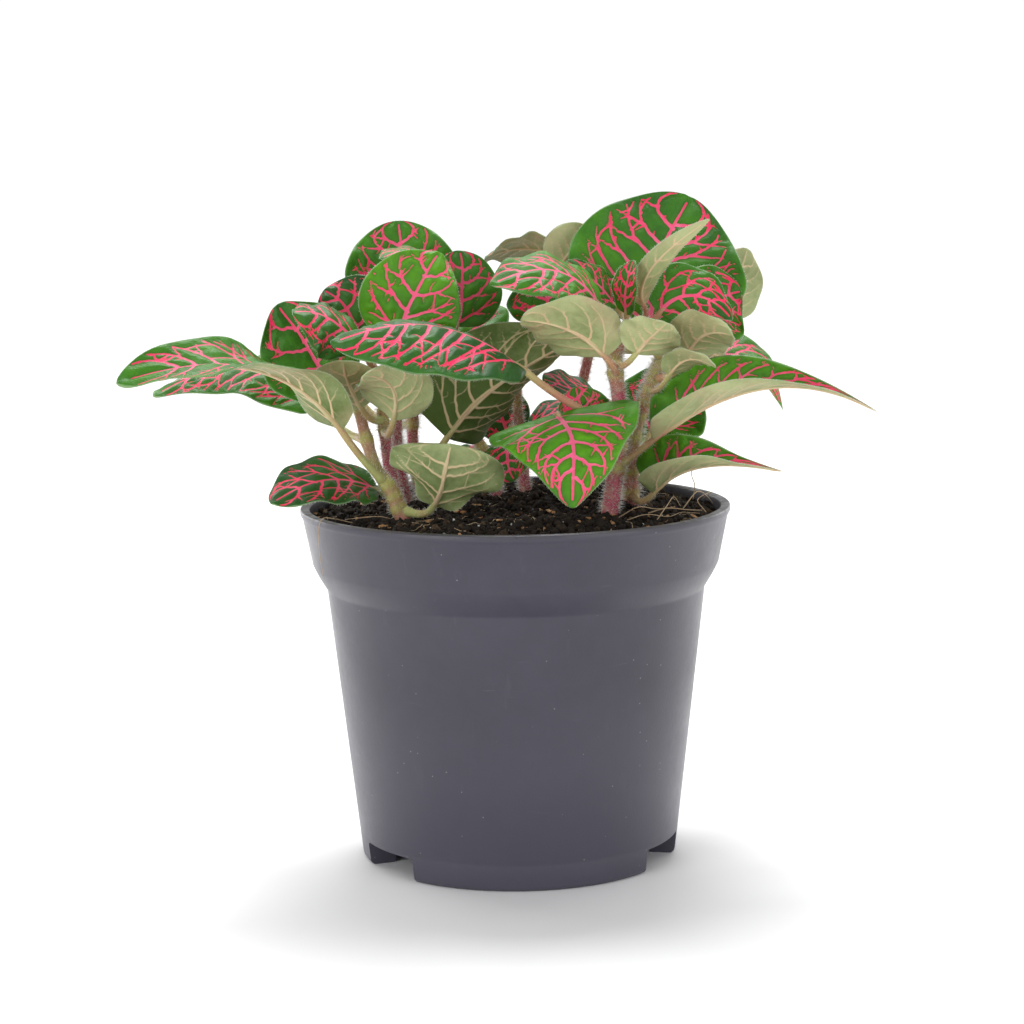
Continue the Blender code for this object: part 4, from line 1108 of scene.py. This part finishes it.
def growVeins(rng, length, width):  # the net as strokes: rank, points of (u, v) and half thicknesses
    strokes = []
    count = max(veinShape["fewest"], min(veinShape["most"], round(length / veinShape["spacing"])))
    big = min(1.15, 0.60 + width / 92.0)  # broad blades have thicker veins
    spread = min(width / length, 0.85)  # how far the laterals run forward

    def addStroke(rank, points, thick, wobble=0.0):
        shares = np.linspace(0.0, 1.0, len(points))
        placed = [(min(max(u + rng.uniform(-wobble, wobble) / length, 0.0), 0.985), v) for u, v in points]
        strokes.append((rank, placed, (thick[0] + (thick[1] - thick[0]) * shares ** 0.8) * big))

    def addBranch(start, turn, swing, reachV, side, thick):  # leaves a vein and bends to the margin
        u0, v0 = start
        points = []
        for t in np.linspace(0.0, 1.0, 8):
            points.append((u0 + swing * (t + turn * 0.35 * t * t), v0 + side * (reachV - abs(v0)) * t ** 0.9))
        addStroke(2, points, (thick, thick * veinShape["forkEnd"]), 0.22)

    wave = rng.uniform(0.0, math.tau)
    midrib = [(u, 0.03 * math.sin(u * 7.0 + wave)) for u in np.linspace(0.0, 0.95, 24)]
    addStroke(0, midrib, veinShape["midrib"])
    for side in (-1.0, 1.0):
        laterals = []
        for k in range(count):
            start = 0.02 + 0.86 * (k + rng.uniform(0.05, 0.5)) / count
            reach = (0.40 + rng.uniform(-0.05, 0.05)) * spread * (0.45 + 0.75 * (1.0 - start)) + 0.03
            edge = rng.uniform(0.80, 0.90)
            bow = rng.uniform(0.3, 0.7)

            def lateralAt(t, start=start, reach=reach, bow=bow, edge=edge):
                return start + reach * ((1 - bow) * t + bow * t * t), side * edge * t ** 0.94

            laterals.append(lateralAt)
            addStroke(1, [lateralAt(t) for t in np.linspace(0.0, 1.0, 14)], veinShape["lateral"], 0.28)
            low, high = rng.uniform(0.36, 0.52), rng.uniform(0.62, 0.76)
            swing, stop = reach * rng.uniform(0.02, 0.12), rng.uniform(0.76, 0.88)
            addBranch(lateralAt(low), 1.0, swing, stop, side, veinShape["fork"])
            swing, stop = reach * 0.3 + rng.uniform(0.03, 0.06), rng.uniform(0.84, 0.92)
            addBranch(lateralAt(high), -1.0, swing, stop, side, veinShape["backFork"])
            for _ in range(2):  # short side twigs
                u, v = lateralAt(rng.uniform(0.18, 0.9))
                turn = rng.choice((-1.0, 1.0))
                twig = [(u + turn * t * rng.uniform(1.2, 2.6) / length, v + side * t * 0.05)
                        for t in (0.0, 0.5, 1.0)]
                addStroke(3, twig, veinShape["twig"], 0.1)
        for lower, upper in zip(laterals, laterals[1:]):
            for bridge in range(rng.choice((0, 1, 1, 2))):
                t = 0.30 + 0.34 * (bridge + rng.random() * 0.8)
                a, b = lower(min(t, 0.96)), upper(min(max(t + rng.uniform(-0.14, 0.06), 0.08), 0.92))
                stop = 1.0 if rng.random() < 0.55 else rng.uniform(0.4, 0.65)
                kink = rng.uniform(-0.06, 0.06)
                across = [(a[0] + (b[0] - a[0]) * s * stop, a[1] + (b[1] - a[1]) * s * stop
                           + kink * math.sin(s * math.pi)) for s in np.linspace(0.0, 1.0, 6)]
                addStroke(3, across, veinShape["bridge" if stop == 1.0 else "brokenBridge"], 0.3)
        for _ in range(round(count * 0.7)):
            u, v = rng.uniform(0.05, 0.9), rng.uniform(0.80, 0.88)
            twig = [(u, side * v), (u + rng.uniform(0.005, 0.02), side * (v + 0.06))]
            addStroke(3, twig, veinShape["marginTwig"])
    return strokes


def veinDistances(strokes, u, v, arc, half):  # gap to the nearest vein, its girth, and gap to a main vein
    along = arc[:, None] + v[None, :] * 0.0
    across = half[:, None] * v[None, :]
    nearest = np.full(along.shape, veinShape["farthest"])
    girth = np.zeros(along.shape)
    main = np.full(along.shape, veinShape["farthest"])
    for rank, points, thick in strokes:
        us = np.array([point[0] for point in points])
        vs = np.array([point[1] for point in points])
        flat = np.stack([np.interp(us, u, arc), np.interp(us, u, half) * vs], axis=1)
        for index in range(len(points) - 1):
            (ax, ay), (bx, by) = flat[index], flat[index + 1]
            low = np.searchsorted(arc, min(ax, bx) - veinShape["reach"])
            high = np.searchsorted(arc, max(ax, bx) + veinShape["reach"])
            x, y = along[low:high], across[low:high]
            dx, dy = bx - ax, by - ay
            t = np.clip(((x - ax) * dx + (y - ay) * dy) / max(dx * dx + dy * dy, 1e-9), 0.0, 1.0)
            width = thick[index] + (thick[index + 1] - thick[index]) * t
            gap = np.hypot(x - ax - dx * t, y - ay - dy * t) - width
            closer = gap < nearest[low:high]
            nearest[low:high] = np.where(closer, gap, nearest[low:high])
            girth[low:high] = np.where(closer, width, girth[low:high])
            if rank < 2:
                main[low:high] = np.minimum(main[low:high], gap)
    return nearest, girth, main


def softStep(values, low, high):
    t = np.clip((values - low) / (high - low), 0.0, 1.0)
    return t * t * (3.0 - 2.0 * t)


def makeBlade(row, index, tone, blush):
    rng = random.Random(1000 + index)
    node, width = row[0], row[6]
    hidden = node.startswith("leaf_back")
    spacing = leafShape["hiddenStep" if hidden else "fineStep" if node in largeLeaves else "step"]
    midrib = leafPath(row)[1]
    trial = curvePoints(midrib, np.linspace(0.0, 1.0, 60))
    length = float(np.linalg.norm(np.diff(trial, axis=0), axis=1).sum())
    rows = max(24, round(length / spacing))
    upper = max(20, 2 * round(width / spacing / 2))
    lower = max(12, 2 * round(upper * (0.7 if node in paleLeaves else 0.32)))
    even = np.linspace(0.0, 1.0, rows + 1)
    u = 0.82 * even + 0.18 * (0.5 - 0.5 * np.cos(even * math.pi))
    broad, taper, wavy = leafCut.get(node, plainCut)
    half = bladeHalf(u, width, broad, taper)
    centre = curvePoints(midrib, u)
    arc = np.concatenate(([0.0], np.cumsum(np.linalg.norm(np.diff(centre, axis=0), axis=1))))
    strokes = growVeins(rng, length, width)
    phases = [rng.random() * math.tau for _ in range(4)]
    waves = rng.uniform(4.5, 7.0)

    def layer(v):  # middle surface, its normals and the vein measures, over the rows and one set of columns
        uu, vv = np.repeat(u, len(v)), np.tile(v, len(u))
        places = bladePlaces(row, uu, vv).reshape(len(u), len(v), 3)
        lengthwise = np.gradient(places, axis=0)
        crosswise = np.gradient(places, axis=1)
        normals = unit(np.cross(crosswise, lengthwise)) * np.sign(v[-1] - v[0])
        for end, inner in ((0, 2), (1, 2), (-1, -3), (-2, -3)):
            normals[end] = normals[inner]
        swing = waves * uu * math.tau / 2 + phases[0] + np.where(vv > 0, phases[1], phases[2])
        ripple = np.sin(swing) * np.abs(vv) ** 3 * wavy * min(1.0, width / 28.0)
        ripple = ripple.reshape(len(u), len(v)) * np.minimum(1.0, half / 3.0)[:, None]
        gap, girth, main = veinDistances(strokes, u, v, arc, half)
        return places + normals * ripple[..., None], normals, gap, girth, main

    vUpper = np.linspace(-1.0, 1.0, upper + 1)
    vLower = np.linspace(1.0, -1.0, lower + 1)
    swell = min(1.0, width / 26.0)
    thin = np.minimum(1.0, half / 1.6)[:, None]
    parts = []
    for v, way in ((vUpper, 1.0), (vLower, -1.0)):
        places, normals, gap, girth, main = layer(v)
        edge = np.sqrt(np.clip(1.0 - np.abs(v) ** 8, 0.0, 1.0))[None, :] * thin
        away = np.clip(gap, 0.0, veinShape["farthest"]) / leafShape["puckerReach"]
        quilt = leafShape["pucker"] * swell * (1.0 - np.exp(-away ** 2)) * edge
        sink = leafShape["veinSink"] * (1.0 - softStep(gap, -0.3, 0.35))
        rise = leafShape["ribRaise"] * (1.0 - softStep(main, -0.5, 0.35))
        if way > 0:
            lift = leafShape["thickness"] / 2 * edge + quilt - sink * edge
        else:
            lift = -leafShape["thickness"] / 2 * edge + quilt * 0.4 - rise * edge
        shaped = places + normals * lift[..., None]
        if way < 0:  # both sides share their margins
            shaped[:, 0], shaped[:, -1] = parts[0][0][:, -1], parts[0][0][:, 0]
        parts.append((shaped, gap, girth, main, np.abs(v)[None, :] + half[:, None] * 0.0))
    mesh, column, ring = gridSheet(upper + lower, rows, upper)
    onTop = column <= upper
    under = np.clip(column - upper, 0, lower)
    over = np.clip(column, 0, upper)

    def gather(which):
        pick = onTop if parts[0][which].ndim == 2 else onTop[:, None]
        return np.where(pick, parts[0][which][ring, over], parts[1][which][ring, under])

    mesh.vertices.foreach_set("co", (gather(0) * mm).ravel())
    writeValues(mesh, "vein", gather(1))
    writeValues(mesh, "girth", gather(2))
    writeValues(mesh, "mainVein", gather(3))
    edgeGap = half[ring] * (1.0 - gather(4))
    writeValues(mesh, "rim", np.clip(1.0 - edgeGap / 6.0, 0.0, 1.0))
    writeValues(mesh, "tone", tone + 0.12 * np.sin(ring / rows * 5.0 + phases[3]))
    writeValues(mesh, "blush", np.full(len(column), blush))
    sewSheet(mesh)
    top = parts[0][0]
    return mesh, ((top[:, 0], top[:, 2]), (top[:, -1], top[:, -3])), length


def makeStalk(row, rng, blush):  # the petiole from inside the shoot, going on as a rib under the blade
    petiole, midrib, centre = leafPath(row)
    shares = np.linspace(0.0, 1.0, 22)
    outer = curvePoints(petiole, shares)
    inside = np.array(tuple(centre)) * 0.75 + outer[0] * 0.25
    along = np.linspace(0.03, 0.94, 40)
    under = curvePoints(midrib, along)
    ahead = curveHeadings(midrib, along)
    up = upperSide(row, along, ahead)
    size = min(1.0, 0.6 + row[6] / 75.0)
    ribRadii = size * (0.62 - 0.40 * along) + size * 0.33 * np.exp(-along / 0.05)
    under = under - up * (ribRadii * 0.92 * softStep(along, 0.0, 0.10))[:, None]
    route = np.concatenate(([inside], outer, under))
    stalkRadii = leafShape["petioleRadius"] * size * (1.12 - 0.16 * shares + 0.35 * np.exp(-shares / 0.08))
    radii = np.concatenate(([stalkRadii[0] * 0.9], stalkRadii, ribRadii))
    radii[-2:] *= (0.6, 0.15)
    mesh, column, ring = rolledTube(route, radii, leafShape["stalkSides"])
    writeValues(mesh, "blush", np.full(len(column), blush))
    writeValues(mesh, "along", np.clip((ring - len(outer)) / 6.0, 0.0, 1.0))
    sewSheet(mesh)
    reach = len(outer) + 2

    def addStalkHair(hairs, _):
        step = rng.randrange(2, reach)
        heading = Vector(route[step + 1] - route[step])
        outward = heading.orthogonal().normalized()
        outward.rotate(Matrix.Rotation(rng.random() * math.tau, 3, heading))
        tilt = (outward + heading.normalized() * rng.uniform(-0.2, 0.5)).normalized()
        root = Vector(route[step]) + heading * rng.random() + outward * float(radii[step]) * 0.95
        length = rng.uniform(*leafShape["stalkHairLength"])
        addHair(hairs, root, tilt, length, leafShape["stalkHairRadius"])

    return mesh, growMany(leafShape["stalkHairs"], addStalkHair)


def makeMarginHairs(rng, margins, length):
    hairs = bmesh.new()
    count = round(leafShape["hairsPerMm"] * length)
    for margin, inner in margins:
        for k in range(count):
            place = (0.03 + 0.96 * (k + rng.random()) / count) * (len(margin) - 1)
            low = min(int(place), len(margin) - 2)
            root = Vector(margin[low]).lerp(Vector(margin[low + 1]), place - low)
            outward = (root - Vector(inner[low])).normalized()
            ahead = Vector(margin[low + 1] - margin[low]).normalized()
            lean = Vector((rng.uniform(-0.3, 0.3), rng.uniform(-0.3, 0.3), rng.uniform(-0.3, 0.3)))
            direction = (outward + ahead * rng.uniform(0.0, 0.7) + lean).normalized()
            addHair(hairs, root, direction, rng.uniform(*leafShape["hairLength"]), leafShape["hairRadius"])
    return meshFrom(hairs, "hairs")


def makeLeaf(row, index):
    node = row[0]
    tone, blush = leafLook.get(node, plainLook)
    rng = random.Random(3000 + index)
    blade, margins, length = makeBlade(row, index, tone, blush)
    stalk, stalkHairs = makeStalk(row, rng, blush)
    marginHairs = makeMarginHairs(rng, margins, length)
    leaf = joinMeshes([(blade, None), (stalk, 2), (stalkHairs, 3), (marginHairs, 3)], node + "Leaf")
    materials = [finish[key] for key in ("leafTop", "leafUnder", "stalk", "hair")]
    addPiece(pieceName(node), leaf, materials, [node])


finish = {
    "leafTop": leafTopPaint(), "leafUnder": leafUnderPaint(), "stalk": stalkPaint(), "shoot": shootPaint(),
    "hair": twoTonePaint("hair", 0.45, 0.5, 300.0, 1.0, shootFinish["hairDull"], shootFinish["hairWhite"]),
}
placeCamera()
placeLights()
placeFloor()
print("camera, lights and floor placed")
makePot()
makeSoil()
for index, row in enumerate(shootRows):
    makeShoot(row, index)
print("shoots made")
for index, row in enumerate(leafRows):
    makeLeaf(row, index)
print("leaves made")
